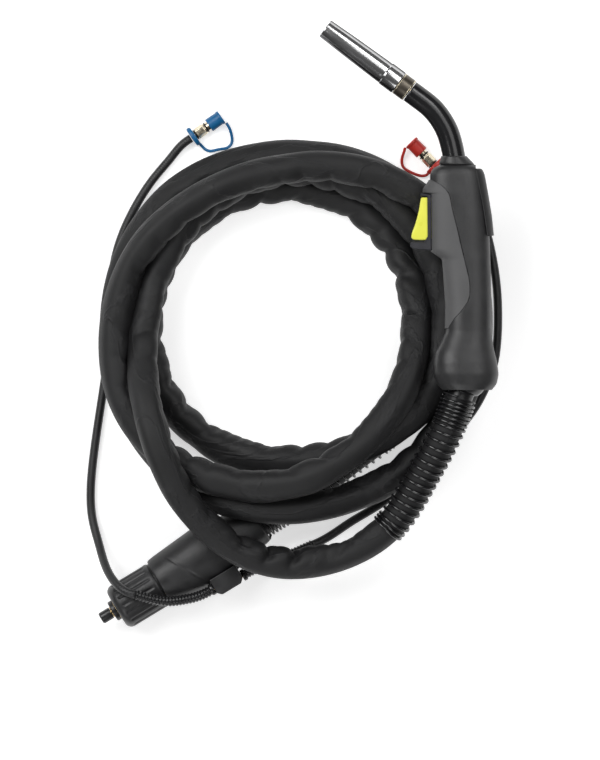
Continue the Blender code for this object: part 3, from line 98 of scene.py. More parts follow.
bpy.context.scene.view_settings.view_transform = "Standard"
camera = placed("camera", bpy.data.cameras.new("camera"))
camera.location = (0.00175, -0.0545, 10.05)
camera.data.lens = SENSOR * DISTANCE / VIEW_LENGTH
camera.data.clip_end = 60
bpy.context.scene.camera = camera

floor_mesh = bpy.data.meshes.new("floor")
floor_corners = [(x * FLOOR_REACH, y * FLOOR_REACH, FLOOR_HEIGHT) for x, y in ((-1, -1), (1, -1), (1, 1), (-1, 1))]
floor_mesh.from_pydata(floor_corners, [], [(0, 1, 2, 3)])
floor = placed("floor", floor_mesh)
# The paper glows a little for the camera and for mirroring surfaces, and is plain matt for the rest.
paper = bpy.data.materials.new("studio_paper")
paper.use_nodes = True
tree = paper.node_tree
tree.nodes.clear()
ray = added(tree, "LightPath").outputs
seen_or_mirrored = added(tree, "Math", {0: ray["Is Camera Ray"], 1: ray["Is Glossy Ray"]}, operation="MAXIMUM")
any_view = added(tree, "Math", {0: seen_or_mirrored, 1: ray["Is Transmission Ray"]}, operation="MAXIMUM")
matt_paper = added(tree, "BsdfDiffuse", {"Color": (0.86, 0.86, 0.86, 1)})
white_paper = added(tree, "Emission", {"Strength": 0.58})
half_lit = added(tree, "AddShader", {0: matt_paper, 1: white_paper})
paper_mix = added(tree, "MixShader", {0: any_view, 1: matt_paper, 2: half_lit})
added(tree, "OutputMaterial", {"Surface": paper_mix})
floor_mesh.materials.append(paper)

studio = bpy.data.worlds.new("studio")
studio.use_nodes = True
bpy.context.scene.world = studio
tree = studio.node_tree
tree.nodes.clear()
ray = added(tree, "LightPath").outputs
dim_room, white_room = (added(tree, "Background", {"Color": (1, 1, 1, 1), "Strength": power}) for power in (0.1, 1))
room_mix = added(tree, "MixShader", {0: ray["Is Camera Ray"], 1: dim_room, 2: white_room})
added(tree, "OutputWorld", {"Surface": room_mix})

for box_name, place, width, power in SOFT_BOXES:
    box_light = bpy.data.lights.new(box_name, "AREA")
    box_light.size = width
    box_light.energy = power
    box_lamp = placed(box_name, box_light)
    box_lamp.location = place
    away = -unit(np.array(place))
    box_lamp.rotation_euler = (math.acos(-away[2]), 0, math.atan2(away[1], away[0]) - math.pi / 2)
    box_lamp.visible_camera = False


# ------------------------ hose package
# A loose woven textile sheath, 28.6 across, over the power cable, wire conduit, gas and water lines.
# It makes about four turns, lies partly on the floor, and wrinkles on the inside of its bends.
# It is drawn tight over its last 120 at both ends, and elsewhere stands off by less than LOOSEST.
HOSE = 28.6
HELD_END, LOOSEST, SIDES = 120, 5, 40
BALL = np.array((167.75, -52.5, 88))
HOSE_WAY = np.array((math.cos(math.radians(-110)), math.sin(math.radians(-110)), 0))
ADAPTOR = np.array((-139.15, -258.4, 25.6))
ADAPTOR_TURN = math.radians(211.2)
# The coil's points stand 30 degrees apart round this middle, each with its own radius and height.
COIL_MIDDLE = (-18.3, -9.5)
RADII = (220, 229, 191, 152, 135.5, 139, 150, 164, 172, 173, 167, 155,
         135, 126, 127, 130, 133, 138, 144, 149, 150, 145, 136, 134,
         138, 150, 161, 170, 166.5, 163, 159, 166, 187, 202, 197.5, 188.5,
         179, 175, 174, 169, 166, 172, 178, 181, 190, 191, 180)
HEIGHTS = (63, 60, 89.3, 92.8, 54, 44, 43, 39, 36, 37, 42, 49,
           53, 38.2, 17, 11.6, 11.6, 11.6, 11.6, 11.6, 11.6, 19, 44, 73.5,
           86, 84, 71.4, 60.6, 54.5, 62, 73, 69.2, 62.6, 48.4, 41, 42,
           43.5, 59, 43.5, 30, 24.5, 23, 14, 11.6, 11.6, 11.6, 11.6)
TO_COIL = ((148.3, -104.5, 87.2), (138.3, -124.5, 83.4), (124.3, -149.5, 76.2))
FROM_COIL = ((146.8, -48.5, 12.5), (122.8, -76.5, 14.5), (91.8, -104.5, 18.7), (48.8, -136.5, 19.4),
             (4.8, -170.5, 22.8))


def run(points):
    """Distance along a path at each of its points."""
    return np.concatenate([[0], np.cumsum(np.linalg.norm(np.diff(points, axis=0), axis=1))])


def read_at(places, along, values):
    """Points given along a run, read at other places on it by straight lines between them."""
    return np.stack([np.interp(places, along, values[:, axis]) for axis in range(3)], axis=1)


def spline(points, spacing=None, count=None):
    """Natural cubic spline through the points, read at even steps: its second derivative is zero at
    both ends and comes from one linear system for the rest."""
    points = np.array(points, float)
    knots = run(points)
    step, n = np.diff(knots), len(points)
    matrix, right = np.eye(n), np.zeros_like(points)
    inner = np.arange(1, n - 1)
    matrix[inner, inner - 1], matrix[inner, inner] = step[:-1], 2 * (step[:-1] + step[1:])
    matrix[inner, inner + 1] = step[1:]
    slope = np.diff(points, axis=0) / step[:, None]
    right[1:-1] = 6 * np.diff(slope, axis=0)
    bend = np.linalg.solve(matrix, right)
    at = np.linspace(0, knots[-1], 40 * n)
    i = np.clip(np.searchsorted(knots, at) - 1, 0, n - 2)
    width = step[i][:, None]
    a = (knots[i + 1] - at)[:, None] / width
    b = 1 - a
    fine = a * points[i] + b * points[i + 1] + ((a**3 - a) * bend[i] + (b**3 - b) * bend[i + 1]) * width**2 / 6
    along = run(fine)
    count = count or max(4, round(along[-1] / spacing) + 1)
    return read_at(np.linspace(0, along[-1], count), along, fine)


def together(*axes):
    """Coordinates of the same shape, or ones that stretch to it, put together into points."""
    return np.stack(np.broadcast_arrays(*axes), axis=-1)


def axes_along(points):
    """Unit tangent and two normals at each point, the first normal carried along with least turning."""
    tangents = unit(np.gradient(points, axis=0))
    normal = np.cross(tangents[0], (0, 0, 1))
    firsts = []
    for tangent in tangents:
        normal = unit(normal - tangent * (normal @ tangent))
        firsts.append(normal)
    return tangents, np.array(firsts), np.cross(tangents, firsts)


def circle(count):
    """Even angles once round, the first at zero."""
    return np.linspace(0, math.tau, count, endpoint=False)


def ways_out(path, sides):
    """Unit vectors square to a path, once round each of its points."""
    _, across, up = axes_along(path)
    turn = circle(sides)[None, :, None]
    return np.cos(turn) * across[:, None] + np.sin(turn) * up[:, None]


def tube_grid(path, radius, sides):
    """Points at radius round each point of a path; radius is one number or one for each grid point."""
    return path[:, None] + np.broadcast_to(radius, (len(path), sides))[..., None] * ways_out(path, sides)


def between_ends(along, margin, fade):
    """0 within a margin of both ends of a run, 1 from a fade further in, a straight line between."""
    return np.clip((np.minimum(along, along[-1] - along) - margin) / fade, 0, 1)


def skin(name, grids, ring=True, loop=False, inside=None):
    """Mesh of one or more grids of points. ring joins the last column to the first, and loop the last
    row to the first; a ring with no loop is closed on a middle point at both ends. Its map has the share
    of the way round, and the metres along. The faces are turned to look away from the inside."""
    grids = grids if isinstance(grids, list) else [grids]
    points, faces, maps = [], [], []
    for grid in grids:
        rows, columns = grid.shape[:2]
        number = sum(map(len, points)) + np.arange(rows * columns).reshape(rows, columns)
        long = run(grid.mean(axis=1)) / 1000
        r = np.arange(rows if loop else rows - 1)[:, None]
        c = np.arange(columns if ring else columns - 1)[None]
        quads, flat = [], []
        for down, over in ((0, 0), (0, 1), (1, 1), (1, 0)):
            quads.append(number[(r + down) % rows, (c + over) % columns])
            flat.append(together((c + over) / columns, long[np.minimum(r + down, rows - 1)]))
        faces.extend(np.stack(quads, axis=-1).reshape(-1, 4).tolist())
        maps.append(np.stack(flat, axis=-2).reshape(-1, 2))
        points.append(grid.reshape(-1, 3))
        for row, order in ((0, -1), (rows - 1, 1)) if ring and not loop else ():
            middle, edge = np.full(columns, sum(map(len, points))), number[row]
            points.append(grid[row].mean(axis=0)[None])
            faces.extend(np.stack([middle, edge, np.roll(edge, -1)], axis=1)[:, ::order].tolist())
            maps.append(np.tile([[0, long[row]]], (3 * columns, 1)))
    points, maps = np.concatenate(points), np.concatenate(maps)
    centre = points.mean(axis=0) if inside is None else inside
    a, b, c = (points[[face[k] for face in faces]] - centre for k in (0, 1, 2))
    if np.einsum("ij,ij->i", a, np.cross(b, c)).sum() < 0:
        lengths = np.array([len(face) for face in faces])
        faces = [face[::-1] for face in faces]
        starts = np.cumsum(lengths) - lengths
        maps = maps[np.concatenate([np.arange(s + n - 1, s - 1, -1) for s, n in zip(starts, lengths)])]
    mesh = bpy.data.meshes.new(name)
    mesh.from_pydata((points * 0.001).tolist(), [], faces)
    mesh.uv_layers.new(name="surface").data.foreach_set("uv", maps.astype(np.float32).ravel())
    mesh.shade_smooth()
    return placed(name, mesh)


def wear(piece, body, slot, finish, *nodes):
    """Give a piece its body and finish, and let it stand for CAD nodes; slot is not used."""
    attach(piece, body)
    if nodes:
        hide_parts(*nodes)
    piece.data.materials.append(finish)
    return piece


def finish_of(name, colour, roughness, metallic=0, tint=0.2, patch=25, wander=0.08, grain=0.5, relief=0.12,
              specular=0.5):
    """A surface whose colour drifts over patches, whose roughness wanders, and whose fine grain is a
    bump; patch and grain are sizes in millimetres."""
    material = bpy.data.materials.new(name)
    material.use_nodes = True
    tree = material.node_tree
    shader = tree.nodes["Principled BSDF"]
    shader.inputs["Metallic"].default_value = metallic
    shader.inputs["Specular IOR Level"].default_value = specular
    place = added(tree, "TexCoord").outputs["Object"]
    blotches = added(tree, "TexNoise", {"Vector": place, "Scale": 1000 / patch, "Detail": 4})
    ramp = added(tree, "ValToRGB", {"Fac": blotches})
    for element, position, share in zip(ramp.color_ramp.elements, (0.3, 0.7), (1 - tint, 1 + tint)):
        element.position = position
        element.color = (*(min(1, c * share) for c in colour), 1)
    sheen = added(tree, "MapRange", {"Value": blotches, "From Min": 0.3, "From Max": 0.7,
                                     "To Min": max(0.03, roughness - wander), "To Max": min(1, roughness + wander)})
    fine = added(tree, "TexNoise", {"Vector": place, "Scale": 1000 / grain, "Detail": 3}, name="grain")
    bump = added(tree, "Bump", {"Height": fine, "Strength": relief, "Distance": grain * 0.0004}, name="relief")
    for socket, source in (("Base Color", ramp), ("Roughness", sheen), ("Normal", bump)):
        tree.links.new(source.outputs[0], shader.inputs[socket])
    return material


def woven(name, colour, roughness, threads_round, pitch, depth=0.12, creased=0, specular=0.5):
    """A plain weave on the piece's own map: a sine round the hose times a sine along it. Creases lie
    where a slow noise crosses its middle value: thin raised lines, a little paler."""
    material = finish_of(name, colour, roughness, tint=0.3, patch=40, wander=0.07, grain=1.2, relief=0.1,
                         specular=specular)
    tree = material.node_tree
    shader, relief, ramp = (tree.nodes[key] for key in ("Principled BSDF", "relief", "Color Ramp"))
    mapped = added(tree, "UVMap", uv_map="surface")
    apart = added(tree, "SeparateXYZ", {"Vector": mapped}).outputs
    waves = []
    for output, rate in (("X", math.tau * threads_round), ("Y", math.tau * 1000 / pitch)):
        scaled = added(tree, "Math", {0: apart[output], 1: rate}, operation="MULTIPLY")
        waves.append(added(tree, "Math", {0: scaled}, operation="SINE"))
    weave = added(tree, "Math", {0: waves[0], 1: waves[1]}, operation="MULTIPLY")
    threads = added(tree, "Bump", {"Height": weave, "Strength": 0.35, "Distance": depth / 1000})
    tree.links.new(threads.outputs["Normal"], relief.inputs["Normal"])
    spread = added(tree, "Mapping", {"Vector": mapped, "Scale": (2.2, 9, 1), "Rotation": (0, 0, 0.5)})
    slow = added(tree, "TexNoise", {"Vector": spread, "Scale": 1, "Detail": 5, "Distortion": 0.6})
    off_middle = added(tree, "Math", {0: slow, 1: 0.5}, operation="SUBTRACT")
    distance = added(tree, "Math", {0: off_middle}, operation="ABSOLUTE")
    crease = added(tree, "MapRange", {"Value": distance, "From Min": 0, "From Max": 0.022, "To Min": creased,
                                      "To Max": 0.0})
    raised = added(tree, "Bump", {"Height": crease, "Strength": 0.8, "Distance": 0.003, "Normal": relief})
    paler = added(tree, "Mix", {"Factor": crease, "A": ramp, "B": (*(3 * c for c in colour), 1)}, data_type="RGBA")
    tree.links.new(raised.outputs["Normal"], shader.inputs["Normal"])
    tree.links.new(paler.outputs["Result"], shader.inputs["Base Color"])
    return material


def from_adaptor(along, aside, up):
    """A point given along, beside and above the adaptor's axis, in the row frame."""
    c, s = math.cos(ADAPTOR_TURN), math.sin(ADAPTOR_TURN)
    return ADAPTOR + np.array((along * c - aside * s, along * s + aside * c, up))


bearing = np.radians(60 + 30 * np.arange(len(RADII)))
coil_points = together(COIL_MIDDLE[0] + np.array(RADII) * np.cos(bearing),
                       COIL_MIDDLE[1] - np.array(RADII) * np.sin(bearing), HEIGHTS)
hose_route = spline([BALL + HOSE_WAY * 34.3, BALL + HOSE_WAY * 42, *TO_COIL, *coil_points, *FROM_COIL,
                     from_adaptor(-146.2, 0, -0.2), from_adaptor(-135.4, 0, 0)], spacing=6)
hose_path = spline(hose_route, spacing=2.2)
sheath_run = run(hose_path)
tangent = axes_along(hose_path)[0]
curving = np.gradient(tangent, axis=0) / np.gradient(sheath_run)[:, None]
curving = np.stack([np.convolve(curving[:, axis], np.ones(15) / 15, "same") for axis in range(3)], axis=1)
bend_size = np.linalg.norm(curving, axis=1)
inward = curving / np.maximum(bend_size, 1e-9)[:, None]
sheath_turn = circle(SIDES)
sheath_out = ways_out(hose_path, SIDES)
facing_in = np.clip(np.einsum("ijk,ik->ij", sheath_out, inward), -1, 1)
# Bulges with narrow creases between them stand across the hose on the inside of a bend: the absolute
# value of a sine whose wavelength is uneven, with smaller ones laid over it.
s = sheath_run[:, None]
drift = 9 * np.sin(s / 61) + 6 * np.sin(s / 23 + 1.3)
bulges = np.abs(np.sin(math.pi * (s + 1.6 * drift + 5 * np.sin(sheath_turn * 2 + s / 90)) / 38)) ** 0.8
small_bulges = np.abs(np.sin(math.pi * (s - 1.4 * drift) / 21 + sheath_turn[None])) ** 0.9
uneven = 0.75 + 0.3 * np.sin(s / 47 + 2) * np.sin(s / 113)
near_spring = np.exp(-((s - 245) / 50) ** 2)
folds = (uneven + 0.7 * near_spring) * (4.7 * (bulges - 0.5) + 1.3 * (small_bulges - 0.55))
held_ends = between_ends(sheath_run, HELD_END, 60)[:, None]
tight = np.clip(np.clip(bend_size / 0.007, 0.25, 1.2)[:, None] + 0.5 * near_spring, 0, 1.3)
inside_share = np.clip(facing_in + 0.15, 0, 1) ** 1.4
lengthwise = 0.35 * np.sin(3 * sheath_turn[None] + s / 130) + 0.25 * np.sin(5 * sheath_turn[None] - s / 77)
dents = 0.45 * np.sin(2 * sheath_turn[None] + s / 19 + drift / 8) * np.sin(s / 53 + 1) ** 2
# The loose sheath fills out towards another pass that lies near it on either side, by half of the gap.
NEAR, SAME_PASS, NOWHERE = 34, 150, 1000
plan = hose_path[:, :2]
to_other = plan[None] - plan[:, None]
apart = np.linalg.norm(to_other, axis=2)
apart[np.abs(sheath_run[None] - sheath_run[:, None]) < SAME_PASS] = NOWHERE
leftward = together(-tangent[:, 1], tangent[:, 0])
to_left = np.einsum("ijk,ik->ij", to_other, leftward)
filling = np.zeros(sheath_out.shape[:2])
for side in (1, -1):
    nearest = np.where(to_left * side > 24, apart, NOWHERE).min(axis=1)
    fuller = np.where(nearest < NEAR, np.clip((nearest - HOSE) / 2 + 1.3, 0, 3.8), 0)
    fuller = np.convolve(fuller, np.ones(13) / 13, "same")[:, None]
    filling += fuller * np.clip(side * np.einsum("ijk,ik->ij", sheath_out[..., :2], leftward), 0, 1) ** 3
looser = held_ends * (tight * inside_share * folds + lengthwise + dents + 0.3 + filling)
# Inside the bend springs it is drawn tight and fills them.
in_spring = between_ends(sheath_run, 12, 8)[:, None]
sheath_radius = HOSE / 2 + LOOSEST * np.tanh(looser / LOOSEST) + 0.7 * in_spring * (1 - held_ends)
sheath_grid = hose_path[:, None] + sheath_radius[..., None] * sheath_out
pressed = np.clip(0.3 - sheath_grid[..., 2], 0, None)
sheath_grid[..., 2] = np.maximum(sheath_grid[..., 2], 0.3)
sheath_grid[..., :2] += 0.25 * pressed[..., None] * sheath_out[..., :2]
sheath_finish = woven("woven_sheath", (0.0105, 0.0105, 0.0112), 0.56, 84, 1.1, creased=0.16, specular=0.42)
hose_package = wear(skin("sheath", sheath_grid), "root", "textile_sheath", sheath_finish, "hose_package")


# ------------------------ bend springs
# Black spring wire wound round both ends of the hose package: close curls where the spring grips the
# swivel or the adaptor, open ones along the bend, and two close ones at the free end.
WIRE = 2.8
SPRING_ACROSS = 36.0
CLOSE_PITCH, OPEN_PITCH = 4.1, 8.1
CLOSE_CURLS, OPEN_CURLS, CURLS = 7, 14, 23
STEPS = 36
spring_finish = finish_of("black_spring_wire", (0.006, 0.006, 0.007), 0.17, tint=0.3, patch=8, wander=0.04,
                          grain=0.3, relief=0.02, specular=0.9)


def wound(path):
    """Helix round a path: the distance along it grows by one pitch a curl, a short one in the close
    curls and a long one in the open ones, while the angle grows evenly."""
    curls = np.arange(STEPS * CURLS + 1) / STEPS
    lead = (np.minimum(curls, CLOSE_CURLS) * CLOSE_PITCH + np.clip(curls - CLOSE_CURLS, 0, OPEN_CURLS) * OPEN_PITCH
            + np.maximum(curls - CLOSE_CURLS - OPEN_CURLS, 0) * CLOSE_PITCH)
    _, across, up = axes_along(path)
    middle, first, second = (read_at(lead, run(path), values) for values in (path, across, up))
    turn = math.tau * curls[:, None]
    return middle + (SPRING_ACROSS - WIRE) / 2 * (np.cos(turn) * first + np.sin(turn) * second)


spring_starts = {"handle_spring": np.vstack([BALL + HOSE_WAY * 23.5, hose_route]),
                 "rear_spring": np.vstack([from_adaptor(-118.2 - 0.6 - WIRE / 2, 0, 0), hose_route[::-1]])}
for spring_node, spring_path in spring_starts.items():
    spring = skin(f"{spring_node}_wire", tube_grid(wound(spring_path), WIRE / 2, 12))
    wear(spring, "root", "black_spring_steel", spring_finish, spring_node)


# ------------------------ water hoses and their bend guards
# Two thin black rubber hoses leave the water block through ribbed guards. One runs round the outside
# of the coil on the left, the other under the handle on the right.
WATER_HOSE = 8.6
RIB_PITCH = 3.4
rubber_finish = woven("braided_rubber", (0.019, 0.019, 0.02), 0.36, 11, 2.6, depth=0.3)
smooth_finish = finish_of("smooth_rubber", (0.017, 0.017, 0.018), 0.42, patch=30, grain=0.8)
guard_finish = finish_of("guard_rubber", (0.012, 0.012, 0.013), 0.22, patch=20, relief=0.08)
GUARD_LINES = {
    "blue": ((-44.2, 32.4, 14.8), (-38, 32.3, 14.9), (-25.7, 30.6, 18.4), (-12, 26, 22.5), (3.6, 18, 27.6),
             (14, 9, 29.9), (25, -2.4, 30.4)),
    "red": ((-75, 36.4, 0.5), (-82, 36.6, 0.2), (-100, 39.3, -4), (-125, 43.2, -11.5), (-150.5, 46.6, -17.6))}
HOSE_LINES = {
    "blue": ((-178.2, -262.5, 51.5), (-186.3, -253, 43), (-193.8, -239, 29), (-199.2, -222, 15.5), (-204, -205, 7.6),
             (-208, -186, 4.6), (-208.4, -164.5, 4.4), (-207.2, -145.5, 4.4), (-203.5, -115, 4.4), (-198.6, -82, 4.4),
             (-193.8, -50, 4.4), (-190.6, -20, 4.4), (-189.2, 10, 4.4), (-188, 38, 4.4), (-184.3, 66, 4.4),
             (-176.6, 92, 4.4), (-166.5, 114, 4.4), (-155, 134, 4.4), (-144, 149.5, 4.4), (-131.5, 164.5, 4.4),
             (-119.5, 175.9, 5.2), (-112, 182.6, 6.2)),
    "red": ((16.5, -220.8, 6.8), (32, -211, 5.2), (49, -199.5, 4.4), (67, -188.6, 4.4), (85, -177.5, 4.4),
            (104, -162.5, 4.4), (123, -144.5, 4.4), (143, -124, 4.4), (160.5, -104.5, 4.4), (176, -84.5, 4.4),
            (188, -62.5, 4.4), (195.8, -41, 4.4), (199.4, -20, 4.4), (200.6, 5, 4.4), (200, 31, 4.4),
            (197.4, 55, 4.4), (193.4, 77, 4.4), (187.4, 99, 4.4), (178.4, 119.5, 4.4), (166.4, 136.5, 4.4),
            (153.8, 148.6, 5.2), (142.6, 155.8, 6.4))}
COUPLINGS = {"blue": (np.array((-105.3, 190, 7.5)), math.radians(35)),
             "red": (np.array((137.3, 160, 7.5)), math.radians(134.4))}
water_hoses = {}
for colour, guard_line in GUARD_LINES.items():
    guard_path = spline([from_adaptor(*point) for point in guard_line], spacing=0.45)
    guard_run = run(guard_path)
    # Each rib is a rounded wave, 0.9 deep, with a plain collar at both ends.
    ribs = np.clip(1.4 * np.cos(math.tau * guard_run / RIB_PITCH), -1, 1)
    plain = between_ends(guard_run, 0, 2)
    guard_radius = (5.3 - 0.45 * (1 - ribs) * np.round(plain))[:, None]
    guard = skin(f"{colour}_guard", tube_grid(guard_path, guard_radius, 28))
    wear(guard, "root", "hose_rubber", guard_finish, f"{colour}_hose_guard")
    back_way = unit(guard_path[0] - guard_path[4])
    ferrule_path = spline([guard_path[0] + back_way * 0.3, guard_path[0] - back_way * 4], count=6)
    ferrule = skin(f"{colour}_ferrule", tube_grid(ferrule_path, np.array((5.6, 6.1, 6.1, 6.1, 6, 5.5))[:, None], 36))
    wear(ferrule, "root", "hose_rubber", guard_finish)
    guard_end = guard_path[-1]
    onward = unit(guard_end - guard_path[-2])
    ring_middle, ring_turn = COUPLINGS[colour]
    ring_way = np.array((math.cos(ring_turn), math.sin(ring_turn), 0))
    hose_end = ring_middle - ring_way * 3.0
    coarse = spline([guard_end + onward * 7, *HOSE_LINES[colour], hose_end - ring_way * 9], spacing=25)
    water_path = spline(np.vstack([guard_end + onward * 0.6, coarse, hose_end]), spacing=2.5)
    water_hose = skin(f"{colour}_water_hose", tube_grid(water_path, WATER_HOSE / 2, 24))
    wear(water_hose, "root", "hose_rubber", rubber_finish, f"{colour}_hose")
    water_hoses[colour] = (water_hose, water_path)


# ------------------------ couplings, dust caps and straps
# Quick couplings of pale plated brass with dark sealing rings, a hexagon and a grooved nipple. A soft
# plastic cap covers each nipple and hangs on a band from an oval keeper round the hose end.
BAND_LINES = {
    "blue": ((-72.4, 203.7, 6.4), (-69.2, 198.5, 5), (-67.2, 192.5, 3.2), (-66.4, 187, 2.2), (-67.7, 182, 1.9),
             (-71.7, 178.7, 1.9), (-77.7, 177.5, 1.9), (-83.7, 176.3, 1.9), (-89.2, 175.6, 1.9), (-93.8, 177.6, 2.2),
             (-97, 180.8, 3.2), (-99.6, 183.4, 4.4)),
    "red": ((107.4, 178.9, 6.4), (106.2, 174.6, 5), (104.6, 169.5, 3.4), (104.1, 164.5, 2.4), (105.6, 159.5, 1.9),
            (110.8, 155.4, 1.9), (117.8, 152.2, 1.9), (124.8, 150.6, 1.9), (129, 151.6, 2.6), (131.6, 154.8, 4.2))}


def softened(profile, radius=0.4):
    """Each corner of a profile becomes a short curve: a quadratic arc between points on both sides."""
    profile = np.array(profile, float)
    made = [profile[:1]]
    for before, here, after in zip(profile, profile[1:], profile[2:]):
        reach = min(radius, *(0.45 * np.linalg.norm(other - here) for other in (before, after)))
        start, end = (here + unit(other - here) * reach for other in (before, after))
        share = np.linspace(0, 1, 4)[:, None]
        made.append((1 - share) ** 2 * start + 2 * share * (1 - share) * here + share**2 * end)
    return np.concatenate([*made, profile[-1:]])


def stood(points, middle, turn):
    """Turn points by an angle about the vertical, then move them to a middle."""
    c, s = math.cos(turn), math.sin(turn)
    x, y, z = points[..., 0], points[..., 1], points[..., 2]
    return together(x * c - y * s, x * s + y * c, z) + np.array(middle)


def turned(profile, sides=64):
    """Surface of revolution round X: each (along, radius) of the profile is carried round a circle."""
    angle = circle(sides)
    along, radius = np.array(profile, float)[..., None].transpose(1, 0, 2)
    return together(along, radius * np.cos(angle), radius * np.sin(angle))


def bead(middle, out, wide, high, count=14):
    """Round or oval section of a ring: a middle along the axis, and a distance out from it."""
    arc = circle(count)
    return together(middle + wide * np.cos(arc), out + high * np.sin(arc))


def lathed(name, profiles, middle, turn, sides=64, loop=False):
    """One mesh of one or more profiles turned round an axis that lies level at a middle."""
    profiles = profiles if isinstance(profiles, list) else [profiles]
    return skin(name, [stood(turned(profile, sides), middle, turn) for profile in profiles], loop=loop)


def squarer(value, power):
    """A power of the size of a value with the value's own sign, which makes a circle nearly square."""
    return np.sign(value) * np.abs(value) ** power


HEXAGON, HOSE_END, BAND = 5.9, 4.35, 1.5
plated_finish = finish_of("plated_brass", (0.74, 0.66, 0.5), 0.24, 1, tint=0.12, patch=6, grain=0.3, relief=0.04)
cap_finishes = {name: finish_of(f"{name}_cap_plastic", shade, 0.36, tint=0.1, patch=10, grain=0.6)
                for name, shade in (("blue", (0.008, 0.135, 0.33)), ("red", (0.58, 0.036, 0.026)))}
seal_finish = finish_of("dark_seal", (0.012, 0.012, 0.012), 0.35, patch=6)
for colour, (ring_middle, ring_turn) in COUPLINGS.items():
    # Profile of the coupling; between 4.4 and 13.2 its round section gives way to a hexagon.
    fitting_profile = softened([(-2.4, 0.01), (-2.4, 4), (4, 4), (4.4, HEXAGON), (13.2, HEXAGON), (13.6, 5.2),
                                (15, 5.2), (15, 3.4), (16.4, 3.4), (16.4, 4.6), (30.4, 4.6), (31.8, 3.4),
                                (31.8, 2.2), (24.4, 2.2), (24.4, 0.01)], 0.3)
    fitting_grid = turned(fitting_profile, 96)
    flat_angle = np.mod(circle(96), math.pi / 3) - math.pi / 6
    hexagon = math.cos(math.pi / 6) / np.cos(flat_angle)
    on_hexagon = ((fitting_profile[:, 0] > 4.2) & (fitting_profile[:, 0] < 13.4) & (fitting_profile[:, 1] > 5.3))
    fitting_grid[on_hexagon, :, 1:] *= hexagon[None, :, None]
    fitting = skin(f"{colour}_fitting", stood(fitting_grid, ring_middle, ring_turn))
    wear(fitting, "root", "brass", plated_finish, f"{colour}_coupling")
    seal = lathed(f"{colour}_coupling_seals", [bead(place, 5, 0.65, 0.65) for place in (3.2, 15.7)], ring_middle,
                  ring_turn, loop=True)
    wear(seal, "root", "dark_plastic", seal_finish)

    cap_profile = softened([(32.4, 0.01), (32.4, 4.9), (19, 4.9), (19, 6.9), (19.6, 7.1), (31.2, 6.8), (31.8, 7.4),
                            (34, 7.4), (34.4, 6.8), (34.4, 0.01)], 0.5)
    cap = lathed(f"{colour}_cap", cap_profile, ring_middle, ring_turn)
    wear(cap, f"{colour}_cap", f"{colour}_plastic", cap_finishes[colour], f"{colour}_dust_cap")

    # Keeper: a rounded wall carried round an oval 10.3 by 7.3 with a round hole for the hose end.
    wall, oval = circle(24)[:, None], circle(64)[None]
    across = 0.5 + 0.5 * squarer(np.cos(wall), 0.6)
    thick = 2.3 * squarer(np.sin(wall), 0.6)
    keeper = together(thick, (HOSE_END + (10.3 - HOSE_END) * across) * np.cos(oval),
                      (HOSE_END + (7.3 - HOSE_END) * across) * np.sin(oval))
    band_path = spline(BAND_LINES[colour], spacing=0.9)
    aside = unit(np.cross(axes_along(band_path)[0], (0, 0, 1)))
    side, rise = (BAND * squarer(wave(circle(16)), 0.6) for wave in (np.cos, np.sin))
    band = band_path[:, None] + aside[:, None] * side[None, :, None] + np.array((0, 0, 1)) * rise[None, :, None]
    keeper_piece = skin(f"{colour}_keeper", stood(keeper, ring_middle, ring_turn), loop=True)
    wear(keeper_piece, "root", f"{colour}_plastic", cap_finishes[colour], f"{colour}_strap")
    band_piece = skin(f"{colour}_band", band)
    wear(band_piece, "root", f"{colour}_plastic", cap_finishes[colour], f"{colour}_strap")

    water_hose, water_path = water_hoses[colour]


# ------------------------ adaptor housing and water block
# Two moulded half shells screwed together round the cable's end, with a seam along both sides and a
# slanting crease over the top. The angular water block is let into the side of the housing.
housing_finish = finish_of("housing_plastic", (0.02, 0.02, 0.021), 0.44, tint=0.3, patch=14, grain=0.6, relief=0.3)
# Each station has its distance back from the nut, its half width and its half thickness.
HOUSING_FRONT, HOUSING_BACK = 0.3, 118.2
HOUSING = np.array(((0, 24.6, 24.2), (3, 26, 25), (18, 27.4, 25.5), (43, 29.5, 25.6), (55, 30.4, 25.6),
                    (68, 30, 25.5), (85, 26.4, 24.6), (103, 23, 22.4), (116, 21.2, 21), (118.2, 19.6, 19.4)))


def eased(at, places, values, width=2.5):
    """Straight lines between given values, averaged over a few millimetres so that corners are round."""
    spread = np.clip(np.minimum(at - places[0], places[-1] - at) / 2, 0.01, width)
    steps = np.linspace(-2, 2, 9)
    weight = np.exp(-steps**2 / 2) / np.exp(-steps**2 / 2).sum()
    return (np.interp(at[:, None] + steps * spread[:, None], places, values) * weight).sum(axis=1)


def crowded(low, high, count):
    """Places between two ends, closer together near both, so that a rolled edge is smooth."""
    share = np.linspace(0, 1, count)
    share = np.unique(np.concatenate([share, [0.002, 0.005, 0.01, 0.02, 0.035, 0.965, 0.98, 0.99, 0.995, 0.998]]))
    return low + (high - low) * share


def rolled(gap, reach, depth):
    """How far a surface draws in within a reach of its edge: depth at the edge, on a quarter circle."""
    return depth * (1 - np.sqrt(1 - np.clip(1 - gap / reach, 0, 1) ** 2))


